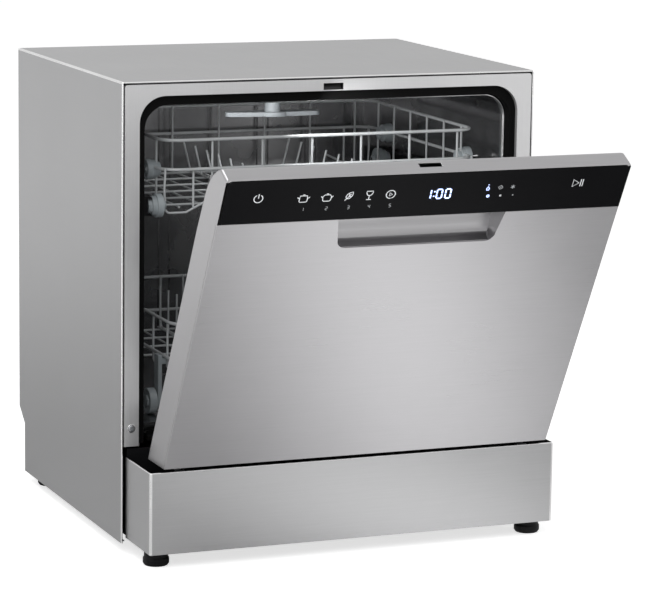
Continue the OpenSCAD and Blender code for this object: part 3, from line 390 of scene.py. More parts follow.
# metres and watts
lamps = [
    dict(name="keyLamp", place=(-1.6, -2.4, 2.6), aim=(0, 0, 0.3), size=(2.2, 2.2), power=40),
    dict(name="rightLamp", place=(2.6, -1.2, 1.4), aim=(0, -0.1, 0.3), size=(1.6, 1.6), power=12),
    dict(name="topLamp", place=(-0.9, 0.7, 2.4), aim=(0.1, 0.1, 0.5), size=(1.2, 1.2), power=12),
    dict(name="leftStrip", place=(-2.1, -0.95, 0.6), aim=(-0.2, -0.1, 0.4), size=(0.35, 1.2),
         power=4),
    dict(name="insideLamp", place=(-0.05, -0.02, 0.548), aim=(0.3, 0.2, 0.4), size=(0.3, 0.02),
         power=0.3),
]


def makeLamp(lamp):
    data = bpy.data.lights.new(lamp["name"], "AREA")
    data.shape = "RECTANGLE"
    data.size, data.size_y = lamp["size"]
    data.energy = lamp["power"]
    item = bpy.data.objects.new(lamp["name"], data)
    item.location = lamp["place"]
    ahead = Vector(lamp["aim"]) - Vector(lamp["place"])
    item.rotation_euler = ahead.to_track_quat("-Z", "Y").to_euler()
    item.visible_camera = False
    bpy.context.scene.collection.objects.link(item)


# how bright the surroundings light the object, and show in steel
studio = dict(light=0.32, mirrored=0.8)


def makeWorld(w):
    # white where it is looked at, darker in steel and darker still as light
    world = bpy.data.worlds.new("studio")
    bpy.context.scene.world = world
    world.use_nodes = True
    tree = world.node_tree
    tree.nodes.clear()
    out = tree.nodes.new("ShaderNodeOutputWorld")
    back = tree.nodes.new("ShaderNodeBackground")
    rays = tree.nodes.new("ShaderNodeLightPath")
    mirrored = addNode(tree, "ShaderNodeMath", operation="MAXIMUM")
    dimmed = addNode(tree, "ShaderNodeMath", operation="MULTIPLY")
    allSeen = addNode(tree, "ShaderNodeMath", operation="MAXIMUM")
    level = tree.nodes.new("ShaderNodeMapRange")
    back.inputs["Color"].default_value = (1, 1, 1, 1)
    dimmed.inputs[1].default_value = (w["mirrored"] - w["light"]) / (1 - w["light"])
    level.inputs["To Min"].default_value = w["light"]
    level.inputs["To Max"].default_value = 1
    tree.links.new(rays.outputs["Is Glossy Ray"], mirrored.inputs[0])
    tree.links.new(rays.outputs["Is Transmission Ray"], mirrored.inputs[1])
    tree.links.new(mirrored.outputs[0], dimmed.inputs[0])
    tree.links.new(rays.outputs["Is Camera Ray"], allSeen.inputs[0])
    tree.links.new(dimmed.outputs[0], allSeen.inputs[1])
    tree.links.new(allSeen.outputs[0], level.inputs["Value"])
    tree.links.new(level.outputs[0], back.inputs["Strength"])
    tree.links.new(back.outputs[0], out.inputs[0])


# metres; a pool of light in front, and floor that brightens from near to far
floor = dict(size=40, seenLift=0.7, pool=(0.16, -0.46), poolReach=(0.38, 0.75), poolBright=0.95,
             near=0.6, far=3.2, farBright=0.62)


def smoothStep(tree, source, start, end, fromBright, toBright):
    step = addNode(tree, "ShaderNodeMapRange", interpolation_type="SMOOTHSTEP")
    ends = {"From Min": start, "From Max": end, "To Min": fromBright, "To Max": toBright}
    for key, value in ends.items():
        step.inputs[key].default_value = value
    tree.links.new(source, step.inputs["Value"])
    return step.outputs[0]


def distanceOnFloor(tree, coords, middle, reach):
    shift = addNode(tree, "ShaderNodeVectorMath", operation="SUBTRACT")
    shift.inputs[1].default_value = (*middle, 0)
    squash = addNode(tree, "ShaderNodeVectorMath", operation="DIVIDE")
    squash.inputs[1].default_value = (*reach, 1)
    length = addNode(tree, "ShaderNodeVectorMath", operation="LENGTH")
    tree.links.new(coords.outputs["Object"], shift.inputs[0])
    tree.links.new(shift.outputs[0], squash.inputs[0])
    tree.links.new(squash.outputs[0], length.inputs[0])
    return length.outputs["Value"]


def makeFloor(f):
    size = f["size"]
    mesh = bpy.data.meshes.new("floor")
    corners = [(-size, -size, 0), (size, -size, 0), (size, size, 0), (-size, size, 0)]
    mesh.from_pydata(corners, [], [(0, 1, 2, 3)])
    sheet = bpy.data.objects.new("floor", mesh)
    bpy.context.scene.collection.objects.link(sheet)
    mat, tree, shader = startMaterial("paleFloor")
    noise = grainNoise(tree, 30)
    tree.links.new(tinted(tree, noise.outputs[0], (0.86, 0.86, 0.86), (0.88, 0.88, 0.88)),
                   shader.inputs["Base Color"])
    shader.inputs["Roughness"].default_value = 0.7
    shader.inputs["Specular IOR Level"].default_value = 0.2
    coords = tree.nodes.new("ShaderNodeTexCoord")
    fromPool = distanceOnFloor(tree, coords, f["pool"], f["poolReach"])
    fromMiddle = distanceOnFloor(tree, coords, (0, 0), (1, 1))
    pool = smoothStep(tree, fromPool, 0, 1, f["poolBright"], 0)
    far = smoothStep(tree, fromMiddle, f["near"], f["far"], 0, f["farBright"])
    both = addNode(tree, "ShaderNodeMath", operation="MAXIMUM")
    tree.links.new(pool, both.inputs[0])
    tree.links.new(far, both.inputs[1])
    rays = tree.nodes.new("ShaderNodeLightPath")
    shown = addNode(tree, "ShaderNodeMath", operation="MAXIMUM")
    tree.links.new(rays.outputs["Is Camera Ray"], shown.inputs[0])
    tree.links.new(rays.outputs["Is Transmission Ray"], shown.inputs[1])
    lift = addNode(tree, "ShaderNodeMath", operation="MULTIPLY")
    lift.inputs[1].default_value = f["seenLift"]
    tree.links.new(shown.outputs[0], lift.inputs[0])
    mirrored = addNode(tree, "ShaderNodeMath", operation="MULTIPLY_ADD")
    tree.links.new(rays.outputs["Is Glossy Ray"], mirrored.inputs[0])
    tree.links.new(both.outputs[0], mirrored.inputs[1])
    tree.links.new(lift.outputs[0], mirrored.inputs[2])
    shader.inputs["Emission Color"].default_value = (1, 1, 1, 1)
    tree.links.new(mirrored.outputs[0], shader.inputs["Emission Strength"])
    mesh.materials.append(mat)


bpy.context.scene.view_settings.view_transform = "Standard"
makeCamera(camera)
for lamp in lamps:
    makeLamp(lamp)
makeWorld(studio)
makeFloor(floor)
print("camera, lamps and floor")


# folds are the narrow flanges under the walls: across, along and up
wrap = dict(corner=2.5, hem=2.25, hemDepth=9, sheet=1.0, low=13, notch=(420, 80), notchTop=100,
            lap=13, edge=1.1, inner=0.8, stop=300, foldAcross=(0.6, 7.9), foldAlong=(10, 419),
            foldUp=(13, 14))
bendSteps = 6


def quarterTurn(steps):
    return [math.pi / 2 * i / steps for i in range(steps + 1)]


def archRing(half, high, corner, inward, stops):
    # the wrap's outline seen from the front, moved inwards
    x, z = half - inward, high - inward
    bend = max(corner - inward, 0)
    left = [(-x, stop) for stop in stops]
    left += [(-(x - bend) - bend * math.cos(a), z - bend + bend * math.sin(a))
             for a in quarterTurn(bendSteps)]
    return left + [(-px, pz) for px, pz in reversed(left)]


def sweptSheet(name, rings, finish, bright=None):
    # rings are lists of points of equal length, each one step of the sheet's section
    verts, faces, marks = [], [], []
    for ring in rings:
        verts += [atFront(*p) for p in ring]
    n, m = len(rings), len(rings[0])
    for i in range(n):
        for j in range(m - 1):
            k = (i + 1) % n
            faces.append((i * m + j, i * m + j + 1, k * m + j + 1, k * m + j))
            marks.append(1 if bright and bright(i, min(j, m - 2 - j)) else 0)
    faces.append(tuple(i * m for i in range(n)))
    faces.append(tuple(i * m + m - 1 for i in reversed(range(n))))
    return newPiece(name, verts, faces, finish, 40, marks + [0, 0])


def onWrapEdge(i, j):
    # the rounded front hem and the two long bends of the top, which take a far lighter steel as a
    # painted highlight
    return 4 <= i <= 11 or (i == 3 and 4 <= j <= 9)


def onPlinthEdge(i, j):
    # the rounded top edge and the two upright bends in front, which take a far lighter steel as a
    # painted highlight
    return 3 <= i <= 7 or (i == 2 and 2 <= j <= 7)


def makeWrap(w):
    half, high = body["width"] / 2, body["height"]
    stops = [w["low"], w["notch"][1], w["notchTop"], w["stop"]]
    e, hem, inner, sheet = w["edge"], w["hem"], w["inner"], w["sheet"]
    last = 2 * (len(stops) + bendSteps + 1) - 1

    def rear(z):
        return w["notch"][0] if z <= w["notch"][1] else body["depth"]

    def ring(inward, offset, fromRear=False, lap=False):
        points = []
        for i, (x, z) in enumerate(archRing(half, high, w["corner"], inward, stops)):
            step = min(i, last - i)
            level = stops[step] if step < len(stops) else high
            y = rear(level) + offset if fromRear else offset
            if lap and level < w["notchTop"]:
                x = math.copysign(half - sheet, x)
            points.append((x, y, z))
        return points

    rings = [ring(w["lap"], -sheet, True, True), ring(w["lap"], 0, True, True),
             ring(e * 0.5, 0, True), ring(0, -e * 0.5, True)]
    rings += [ring(e - e * math.sin(a), e - e * math.cos(a)) for a in reversed(quarterTurn(4))]
    rings += [ring(hem - inner + inner * math.sin(a), inner - inner * math.cos(a))
              for a in quarterTurn(3)]
    rings += [ring(hem, w["hemDepth"]), ring(sheet, w["hemDepth"] + 0.2), ring(sheet, -sheet, True)]
    parts = [sweptSheet("wrapShell", rings, "wrapSteel", onWrapEdge)]
    (y0, y1), (z0, z1) = w["foldAlong"], w["foldUp"]
    for s in (-1, 1):
        x0, x1 = sorted(s * (half - d) for d in w["foldAcross"])
        parts.append(boxPiece("fold", (x0, y0, z0), (x1, y1, z1), "wrapSteel"))
    stands(joined("cabinetShell", parts), "cabinet", "steel", "cabinet_wrap")


plinth = dict(inset=5.5, low=20, high=124, corner=3, end=-0.8, stop=-30, sheet=1.0, round=1.0,
              lip=5, flange=14)


def makePlinth(p):
    half = body["width"] / 2 - p["inset"]
    face = door["face"]

    def ring(inward, z):
        x, y = half - inward, face + inward
        bend = max(p["corner"] - inward, 0)
        left = [(-x, p["end"]), (-x, p["stop"])]
        left += [(-(x - bend) - bend * math.cos(a), y + bend - bend * math.sin(a))
                 for a in quarterTurn(bendSteps)]
        whole = left + [(-px, py) for px, py in reversed(left)]
        return [(px, py, z) for px, py in whole]

    low, high, sheet, edge = p["low"], p["high"], p["sheet"], p["round"]
    rings = [ring(sheet, low + 0.1), ring(0.5, low), ring(0, low + 0.5)]
    rings += [ring(edge - edge * math.cos(a), high - edge + edge * math.sin(a))
              for a in quarterTurn(4)]
    rings += [ring(sheet + 0.4, high - 0.1), ring(sheet + 0.6, high - 0.5),
              ring(sheet + 0.6, high - p["lip"]), ring(sheet, high - p["lip"])]
    shell = sweptSheet("plinthShell", rings, "plinthSteel", onPlinthEdge)
    flange = boxPiece("flange", (-half + 1, face + 1, low),
                      (half - 1, face + p["flange"], low + sheet), "plinthSteel")
    stands(joined("plinthSheet", [shell, flange]), "cabinet", "steel", "plinth")


makeWrap(wrap)
makePlinth(plinth)
print("wrap and plinth")


def wireTree():
    # one bent wire, repeated along a straight line
    tree = bpy.data.node_groups.new("repeatedWire", "GeometryNodeTree")
    tree.is_modifier = True
    face = tree.interface
    face.new_socket("Geometry", in_out="INPUT", socket_type="NodeSocketGeometry")
    count = face.new_socket("Count", in_out="INPUT", socket_type="NodeSocketInt")
    step = face.new_socket("Step", in_out="INPUT", socket_type="NodeSocketVector")
    radius = face.new_socket("Wire radius", in_out="INPUT", socket_type="NodeSocketFloat")
    finish = face.new_socket("Finish", in_out="INPUT", socket_type="NodeSocketMaterial")
    face.new_socket("Geometry", in_out="OUTPUT", socket_type="NodeSocketGeometry")
    n, link = tree.nodes.new, tree.links.new
    start, end = n("NodeGroupInput"), n("NodeGroupOutput")
    curve, circle = n("GeometryNodeMeshToCurve"), n("GeometryNodeCurvePrimitiveCircle")
    skin, line = n("GeometryNodeCurveToMesh"), n("GeometryNodeMeshLine")
    copies, real = n("GeometryNodeInstanceOnPoints"), n("GeometryNodeRealizeInstances")
    paint = n("GeometryNodeSetMaterial")
    circle.inputs["Resolution"].default_value = 10
    skin.inputs["Fill Caps"].default_value = True
    link(start.outputs["Geometry"], curve.inputs["Mesh"])
    link(start.outputs["Wire radius"], circle.inputs["Radius"])
    link(curve.outputs[0], skin.inputs["Curve"])
    link(circle.outputs["Curve"], skin.inputs["Profile Curve"])
    link(start.outputs["Count"], line.inputs["Count"])
    link(start.outputs["Step"], line.inputs["Offset"])
    link(line.outputs[0], copies.inputs["Points"])
    link(skin.outputs[0], copies.inputs["Instance"])
    link(copies.outputs[0], real.inputs[0])
    link(real.outputs[0], paint.inputs["Geometry"])
    link(start.outputs["Finish"], paint.inputs["Material"])
    link(paint.outputs[0], end.inputs[0])
    return tree, dict(count=count.identifier, step=step.identifier, radius=radius.identifier,
                      finish=finish.identifier)


repeatedWire, wireSockets = wireTree()


def wires(path, radius, count=1, step=(0, 0, 0), finish="coatedWire", closed=False):
    # the path in scene units, the radius and the step between copies in millimetres
    mesh = bpy.data.meshes.new("wirePath")
    edges = [(i, i + 1) for i in range(len(path) - 1)]
    if closed:
        edges.append((len(path) - 1, 0))
    mesh.from_pydata([tuple(p) for p in path], edges, [])
    piece = bpy.data.objects.new("wire", mesh)
    bpy.context.scene.collection.objects.link(piece)
    mod = piece.modifiers.new("repeat", "NODES")
    mod.node_group = repeatedWire
    mod[wireSockets["count"]] = count
    mod[wireSockets["step"]] = [v * mm for v in step]
    mod[wireSockets["radius"]] = radius * mm
    mod[wireSockets["finish"]] = finishes[finish]
    bakedPiece(piece)
    piece.data.shade_smooth()
    piece.data.set_sharp_from_angle(angle=math.radians(50))
    return piece


def bendPath(corners, radius, steps=6):
    # rounds each inner corner of an open path in millimetres
    points = [Vector(corners[0])]
    for a, b, c in zip(corners, corners[1:], corners[2:]):
        a, b, c = Vector(a), Vector(b), Vector(c)
        u, v = (a - b).normalized(), (c - b).normalized()
        half = u.angle(v) / 2
        reach = min(radius / math.tan(half), (a - b).length * 0.49, (c - b).length * 0.49)
        r = reach * math.tan(half)
        middle = b + (u + v).normalized() * (r / math.sin(half))
        first, last = b + u * reach - middle, b + v * reach - middle
        turn = first.angle(last)
        for i in range(steps + 1):
            t = i / steps
            arm = first * math.sin((1 - t) * turn) + last * math.sin(t * turn)
            points.append(middle + arm / math.sin(turn))
    points.append(Vector(corners[-1]))
    return [atFront(*p) for p in points]


def roundLoop(w, y0, y1, z, bend):
    x = w / 2 - bend
    points = []
    for cx, cy, start in ((x, y1 - bend, 0), (-x, y1 - bend, 90), (-x, y0 + bend, 180),
                          (x, y0 + bend, 270)):
        for i in range(9):
            a = math.radians(start + 90 * i / 8)
            points.append(atFront(cx + bend * math.cos(a), cy + bend * math.sin(a), z))
    return points


# hoops are the wires bent up at front and back: first place, pitch and count
upperRack = dict(width=428, front=34, back=384, low=427, mid=479, rim=516, rimRadius=2.2,
                 wire=1.5, corner=26, bend=9, pegRows=(-67, 67), pegs=7, pegHigh=40, lean=10,
                 hoops=(-148, 67.5, 6), crosses=6)
lowerRack = dict(width=400, front=28, back=378, low=213, mid=236, rim=282, rimRadius=2.2,
                 wire=1.5, corner=26, bend=9, pegRows=(-112, -38, 38, 112), pegs=9, pegHigh=58,
                 lean=0, hoops=(-164.5, 32.9, 11), crosses=6)
weld = 0.4  # how far crossing wires sink into each other
rackInset = dict(row=32, peg=8, cross=8)  # from the rims to a row, its first peg, a cross wire


def rackWires(r):
    step = r["rimRadius"] + r["wire"] - weld
    xi, yi = r["width"] / 2 - step, (r["back"] - r["front"]) / 2 - step
    my = (r["front"] + r["back"]) / 2
    low, rim, wire = r["low"], r["rim"], r["wire"]
    parts = []
    for z in (r["mid"], rim):
        loop = roundLoop(r["width"], r["front"], r["back"], z, r["corner"])
        parts.append(wires(loop, r["rimRadius"], closed=True))
    first, pitch, count = r["hoops"]
    hoop = bendPath([(first, my - yi, rim + 1), (first, my - yi, low), (first, my + yi, low),
                     (first, my + yi, rim + 1)], r["bend"])
    parts.append(wires(hoop, wire, count, (pitch, 0, 0)))
    reach = yi - r["corner"] - rackInset["cross"]
    level = low + 2 * wire - weld
    cross = bendPath([(-xi, my - reach, rim + 1), (-xi, my - reach, level),
                      (xi, my - reach, level), (xi, my - reach, rim + 1)], r["bend"])
    parts.append(wires(cross, wire, r["crosses"], (0, reach * 2 / (r["crosses"] - 1), 0)))
    base = low + 4 * wire - 2 * weld
    y0, y1 = r["front"] + rackInset["row"], r["back"] - rackInset["row"]
    peg0, peg1 = y0 + rackInset["peg"], y1 - rackInset["peg"]
    for x in r["pegRows"]:
        lean = math.copysign(r["lean"], x)
        parts.append(wires([atFront(x, y0, base), atFront(x, y1, base)], wire))
        peg = [atFront(x, peg0, base), atFront(x + lean, peg0, base + r["pegHigh"])]
        parts.append(wires(peg, wire - 0.1, r["pegs"], (0, (peg1 - peg0) / (r["pegs"] - 1), 0)))
    return parts


def rodX(side, x0, x1, y, z, radius, finish):
    low, high = sorted((side * x0, side * x1))
    return wires([atFront(low, y, z), atFront(high, y, z)], radius, finish=finish)


def wheelPiece(x, y, z, side, radius):
    # a flanged wheel turned about the x axis, its hub outwards: (distance in, radius)
    section = [(4, 2.6), (4, 5), (2.4, 5.6), (2.2, radius - 3), (4, radius - 1.2), (3.4, radius),
               (-2.6, radius), (-3.6, radius - 0.8), (-3.8, 12), (-9.4, 11.8), (-9.9, 11),
               (-9.9, 9.4), (-14.4, 9.2), (-15, 8.4), (-15, 5.2), (-13.6, 4.6), (-13.6, 2.6)]
    steps, n = 40, len(section)
    verts, faces = [], []
    for k in range(steps):
        a = 2 * math.pi * k / steps
        verts += [atFront(x - side * d, y + r * math.cos(a), z + r * math.sin(a))
                  for d, r in section]
        here, beside = k * n, (k + 1) % steps * n
        faces += [(here + i, here + (i + 1) % n, beside + (i + 1) % n, beside + i)
                  for i in range(n)]
    return newPiece("wheel", verts, faces, "wheelPlastic", 40)


# two sets of wheels on each side; the hanger is the bent wire that carries the lower set's
# axle and holds up the corner of the floor, as (across, up) from the middle
upperWheels = dict(out=6.5, low=435, high=475.5, radius=13, axle=2.5, axleOut=15.5, hub=5.5,
                   front=(36, 75), back=(368, 334), stay=(173.2, 479, 428.5), hangerBend=7,
                   hanger=((210.4, 481), (211.6, 454), (210.4, 424.4), (183, 424.4), (147, 442)))


def makeUpperRack(r, w):
    parts = rackWires(r)
    first, pitch, count = r["hoops"]
    y0, y1 = r["front"] + rackInset["row"], r["back"] - rackInset["row"]
    bar = [atFront(first - pitch / 2, y, r["low"]) for y in (y0, y1)]
    parts.append(wires(bar, r["wire"], count, (pitch, 0, 0)))
    disc = r["width"] / 2 + w["out"]
    step = r["rimRadius"] + r["wire"] - weld
    stayX, stayTop, stayLow = w["stay"]
    for s in (-1, 1):
        for y, (lowY, highY) in ((r["front"] + step, w["front"]), (r["back"] - step, w["back"])):
            hanger = bendPath([(s * x, y, z) for x, z in w["hanger"]], w["hangerBend"])
            stay = [atFront(s * stayX, y, stayTop), atFront(s * stayX, y, stayLow)]
            parts += [wires(hanger, r["wire"]), wires(stay, r["wire"])]
            hub = [atFront(s * (disc - d), lowY, w["low"]) for d in (9.5, 6.2)]
            parts.append(wires(hub, w["hub"], finish="wheelPlastic"))
            for inner, axleY, z in ((10, lowY, w["low"]), (9, highY, w["high"])):
                parts.append(rodX(s, disc - inner, disc + w["axleOut"], axleY, z, w["axle"],
                                  "rimSteel"))
            parts.append(wheelPiece(s * disc, highY, w["high"], -s, w["radius"]))
    stands(joined("upperRackWires", parts), "upper_rack", "coated_wire", "upper_rack")


def makeLowerRack(r):
    stands(joined("lowerRackWires", rackWires(r)), "lower_rack", "coated_wire", "lower_rack")


makeUpperRack(upperRack, upperWheels)
makeLowerRack(lowerRack)
print("racks")


# a round bead and a flat band behind it; the band's section is (inwards, depth)
mouth = dict(low=157, half=247.15, high=563.15, corner=29.15, y=19.9, radius=1.2,
             bandHalf=245.95, bandHigh=562, bandCorner=28.05,
             band=((0, 20.4), (0.5, 20.8), (0.8, 22), (0.8, 27), (0.5, 28), (0, 28.4)))


def makeMouth(m):
    # rolled edge round the tub's opening; its steel, far lighter than the tub's, is a painted
    # highlight

    def arch(half, y, high, corner):
        return bendPath([(-half, y, m["low"]), (-half, y, high), (half, y, high),
                         (half, y, m["low"])], corner, 14)

    path = arch(m["half"], m["y"], m["high"], m["corner"])
    bead = wires(path, m["radius"], finish="rimSteel")
    path = arch(m["bandHalf"], 0, m["bandHigh"], m["bandCorner"])
    points = [(p.x / mm, p.z / mm) for p in path]
    rows = []
    for i, (x, z) in enumerate(points):
        ax, az = points[max(i - 1, 0)]
        bx, bz = points[min(i + 1, len(points) - 1)]
        length = math.hypot(bx - ax, bz - az)
        nx, nz = (bz - az) / length, -(bx - ax) / length
        rows.append([(x + nx * d, y, z + nz * d) for d, y in m["band"]])
    band = sweptSheet("tubMouthBand", [list(ring) for ring in zip(*rows)], "rimSteel")
    stands(joined("tubMouthEdge", [bead, band]), "cabinet", "steel")


makeMouth(mouth)
print("tub mouth")


# one on each front stile, the rest round the back panel
screw = dict(stile=(266.6, 160), head=4.2, high=1.5, washer=5.4, slot=0.9, slotLong=2.5,
             slotFloor=0.7, inset=7, rows=(180, 360, 540), topX=150)


def lathePiece(section, x, y, z, way, finish):
    # a section of (radius, distance outwards) turned about an axis along y
    steps, n = 40, len(section)
    verts, faces = [], []
    for k in range(steps):
        a = 2 * math.pi * k / steps
        verts += [atFront(x + r * math.cos(a), y + way * d, z + r * math.sin(a))
                  for r, d in section]
        here, beside = k * n, (k + 1) % steps * n
        faces += [(here + i, beside + i, beside + i + 1, here + i + 1) for i in range(n - 1)]
    faces += [tuple(k * n for k in range(steps)), tuple(k * n + n - 1 for k in range(steps))]
    return newPiece("turned", verts, faces, finish, 40)


def screwPiece(c, x, y, z, way, turn):
    # a domed head with two crossed slots, turned as a hand would leave it
    r, h, rim = c["head"], c["high"], 0.45
    dome = [(r - 0.2, 0.05), (r, rim)]
    dome += [(r * math.cos(a), rim + (h - rim) * math.sin(a)) for a in (0.4, 0.8, 1.1, 1.35)]
    head = lathePiece(dome, x, y, z, way, "zincSteel")
    for angle in (turn, turn + math.pi / 2):
        along = Vector((math.cos(angle), math.sin(angle))) * c["slotLong"]
        across = Vector((-math.sin(angle), math.cos(angle))) * c["slot"] / 2
        corners = [along * a + across * b for a, b in ((-1, -1), (1, -1), (1, 1), (-1, 1))]
        verts = [atFront(x + q.x, y + way * d, z + q.y) for d in (c["slotFloor"], 4)
                 for q in corners]
        faces = [(0, 1, 2, 3), (7, 6, 5, 4), (0, 4, 5, 1), (1, 5, 6, 2), (2, 6, 7, 3), (3, 7, 4, 0)]
        cutter = newPiece("cutter", verts, faces, "darkSteel")
        mod = head.modifiers.new("slot", "BOOLEAN")
        mod.object, mod.solver = cutter, "EXACT"
        bakedPiece(head)
        bpy.data.objects.remove(cutter)
    return head


def makeScrews(c):
    half, back, top = body["width"] / 2, body["depth"], body["height"]
    hole, rim = c["head"] - 0.1, c["washer"]
    ring = [(hole, 0.02), (hole, 0.35), (rim - 0.3, 0.45), (rim, 0.2), (rim, 0.02)]
    stileX, stileZ = c["stile"]
    parts = []
    for s in (-1, 1):
        parts += [lathePiece(ring, s * stileX, 0, stileZ, -1, "rimSteel"),
                  screwPiece(c, s * stileX, 0, stileZ, -1, 0.5)]
        parts += [screwPiece(c, s * (half - c["inset"]), back, row, 1, 0.3 + i)
                  for i, row in enumerate(c["rows"])]
        parts.append(screwPiece(c, s * c["topX"], back, top - c["inset"], 1, 0.9))
    stands(joined("caseScrewHeads", parts), "cabinet", slotOf["case_screws"], "case_screws")


makeScrews(screw)
print("screws")


# prints on the glass, in millimetres across the door and up the closed door
strip = dict(proud=0.45, line=1.15, iconZ=545.4, power=-215.3, pots=(-159, -129.5), leaf=-101.9,
             goblet=-76.3, clock=-49.2, play=194.2, numbers=(-158.3, -128.4, -100.7, -74.7, -48),
             numberZ=526.8, numberHigh=4.6, digitZ=536.3, digitHigh=13.2, digitLine=1.9,
             slant=-0.04, one=-3.6, zeros=(10.6, 21.7), colon=7,
             smallZ=548.6, drop=75.6, swirl=91.8, star=107.9, fine=0.9,
             lit=(78, 536.4), white=(94.3, 536.3), grey=(110.6, 536.4))


def onStrip(x, z, out=0.0):
    return ajar(x, door["face"] - strip["proud"] - out, z)


def flatStroke(points, width, closed=False):
    # a band of even width along points on the strip
    pts = [Vector(p) for p in points]
    n = len(pts)
    left, right = [], []
    for i, p in enumerate(pts):
        a = pts[i - 1] if (i > 0 or closed) else p
        b = pts[(i + 1) % n] if (i < n - 1 or closed) else p
        along = (b - a).normalized() if (b - a).length > 0 else Vector((1, 0))
        side = Vector((-along.y, along.x)) * width / 2
        left.append(p + side)
        right.append(p - side)
    verts = [onStrip(q.x, q.y) for q in left + right]
    last = n if closed else n - 1
    faces = [(i, (i + 1) % n, n + (i + 1) % n, n + i) for i in range(last)]
    return verts, faces


def arcPoints(cx, cz, r, start, end, steps=24):
    angles = [math.radians(start + (end - start) * i / steps) for i in range(steps + 1)]
    return [(cx + r * math.cos(a), cz + r * math.sin(a)) for a in angles]


def placed(x, z, *strokes):
    # each stroke is closed or open, then its points about the icon's middle
    return [([(x + px, z + pz) for px, pz in points], kind == "closed")
            for kind, *points in strokes]


def powerIcon(x, z):
    return [(arcPoints(x, z, 5.4, 118, 422), False)] + placed(x, z, ("open", (0, 6.7), (0, 0.4)))


def potIcon(x, z, corner, bulge):
    # a pot with two handles and a knob; its sides bulge or stand straight
    outline = ("closed", (-4.9 + corner, 3.4), (-4.9 - bulge, 0.4), (-4.9, -4.4), (-3.7, -5.6),
               (3.7, -5.6), (4.9, -4.4), (4.9 + bulge, 0.4), (4.9 - corner, 3.4))
    return placed(x, z, outline, ("open", (-7.5, 1.7), (-6.7, 0.3), (-4.9, -0.3)),
                  ("open", (7.5, 1.7), (6.7, 0.3), (4.9, -0.3)), ("open", (-1.3, 4.9), (1.3, 4.9)))


def leafIcon(x, z):
    return placed(x, z, ("closed", (4.2, 6), (0.6, 5), (-2.6, 2.6), (-3.8, -0.8), (-2.6, -3.8),
                         (0.6, -3.4), (3.4, -0.6), (4.4, 2.6)),
                  ("open", (-4.6, -6), (-2.6, -3.8), (2.4, 3.2)),
                  ("open", (0.2, 0.4), (0.2, 3.4)), ("open", (-0.4, -0.6), (2.6, -0.4)))


def gobletIcon(x, z):
    return placed(x, z, ("closed", (-4, 6), (-4, 3.6), (-2.8, 0.8), (-1, -0.2), (1, -0.2),
                         (2.8, 0.8), (4, 3.6), (4, 6)),
                  ("open", (0, -0.2), (0, -5.9)), ("open", (-3.1, -6.1), (3.1, -6.1)))


def clockIcon(x, z):
    ring = (arcPoints(x, z, 5.7, -70, 280), False)
    return [ring] + placed(x, z, ("closed", (-1.4, 2.4), (2.2, 0), (-1.4, -2.4)),
                           ("open", (-6.4, 0), (-4.9, 0)), ("open", (4.9, 0), (6.4, 0)))


def playIcon(x, z):
    return placed(x, z, ("closed", (-7.2, 5.2), (-7.2, -5.2), (0.9, 0)),
                  ("open", (3, 5.2), (3, -5.2)), ("open", (5.8, 5.2), (5.8, -5.2)))


def dropIcon(x, z):
    return placed(x, z, ("closed", (0, 2), (-1.7, -1.2), (-1.2, -3.4), (1.2, -3.4), (1.7, -1.2)),
                  ("open", (0, 5), (0, 3.8)))


def swirlIcon(x, z):
    return [(arcPoints(x, z, 2.9, 0, 345, 4), True)] + placed(x, z, ("open", (-1, 0), (1, 0)))


def starIcon(x, z, r=2.8):
    arms = [(r * math.cos(a), r * math.sin(a)) for a in (0.5, 1.55, 2.6)]
    return placed(x, z, *(("open", (-px, -pz), (px, pz)) for px, pz in arms))


digitStrokes = {"0": "abcdef", "1": "bc", "2": "abged", "3": "abgcd", "4": "fgbc", "5": "afgcd"}


def segmentDigit(char, x, z, h, width, slant=0):
    # up to seven bars of a numeral
    w, gap = h * 0.5, width * 0.3
    bars = dict(a=((0, h), (w, h)), b=((w, h), (w, h / 2)), c=((w, h / 2), (w, 0)),
                d=((0, 0), (w, 0)), e=((0, h / 2), (0, 0)), f=((0, h), (0, h / 2)),
                g=((0, h / 2), (w, h / 2)))
    lines = []
    for key in digitStrokes[char]:
        (ax, az), (bx, bz) = bars[key]
        d = Vector((bx - ax, bz - az)).normalized() * gap
        points = [(ax + d.x, az + d.y), (bx - d.x, bz - d.y)]
        lines.append(([(x + px + slant * pz, z + pz) for px, pz in points], False))
    return lines


def printOnStrip(name, lines, width, finish):
    verts, faces = [], []
    for points, closed in lines:
        v, f = flatStroke(points, width, closed)
        faces += [tuple(i + len(verts) for i in face) for face in f]
        verts += v
    mesh = bpy.data.meshes.new(name)
    mesh.from_pydata([tuple(v) for v in verts], [], faces)
    out = (onStrip(0, 500, 1) - onStrip(0, 500)).normalized()
    for poly in mesh.polygons:
        if poly.normal.dot(out) < 0:
            poly.flip()
    mesh.update()
    mesh.materials.append(finishes[finish])
    piece = bpy.data.objects.new(name, mesh)
    bpy.context.scene.collection.objects.link(piece)
    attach(piece, "door")


def discOnStrip(x, z, r):
    return [(arcPoints(x, z, r / 2, 0, 345, 23), True)]


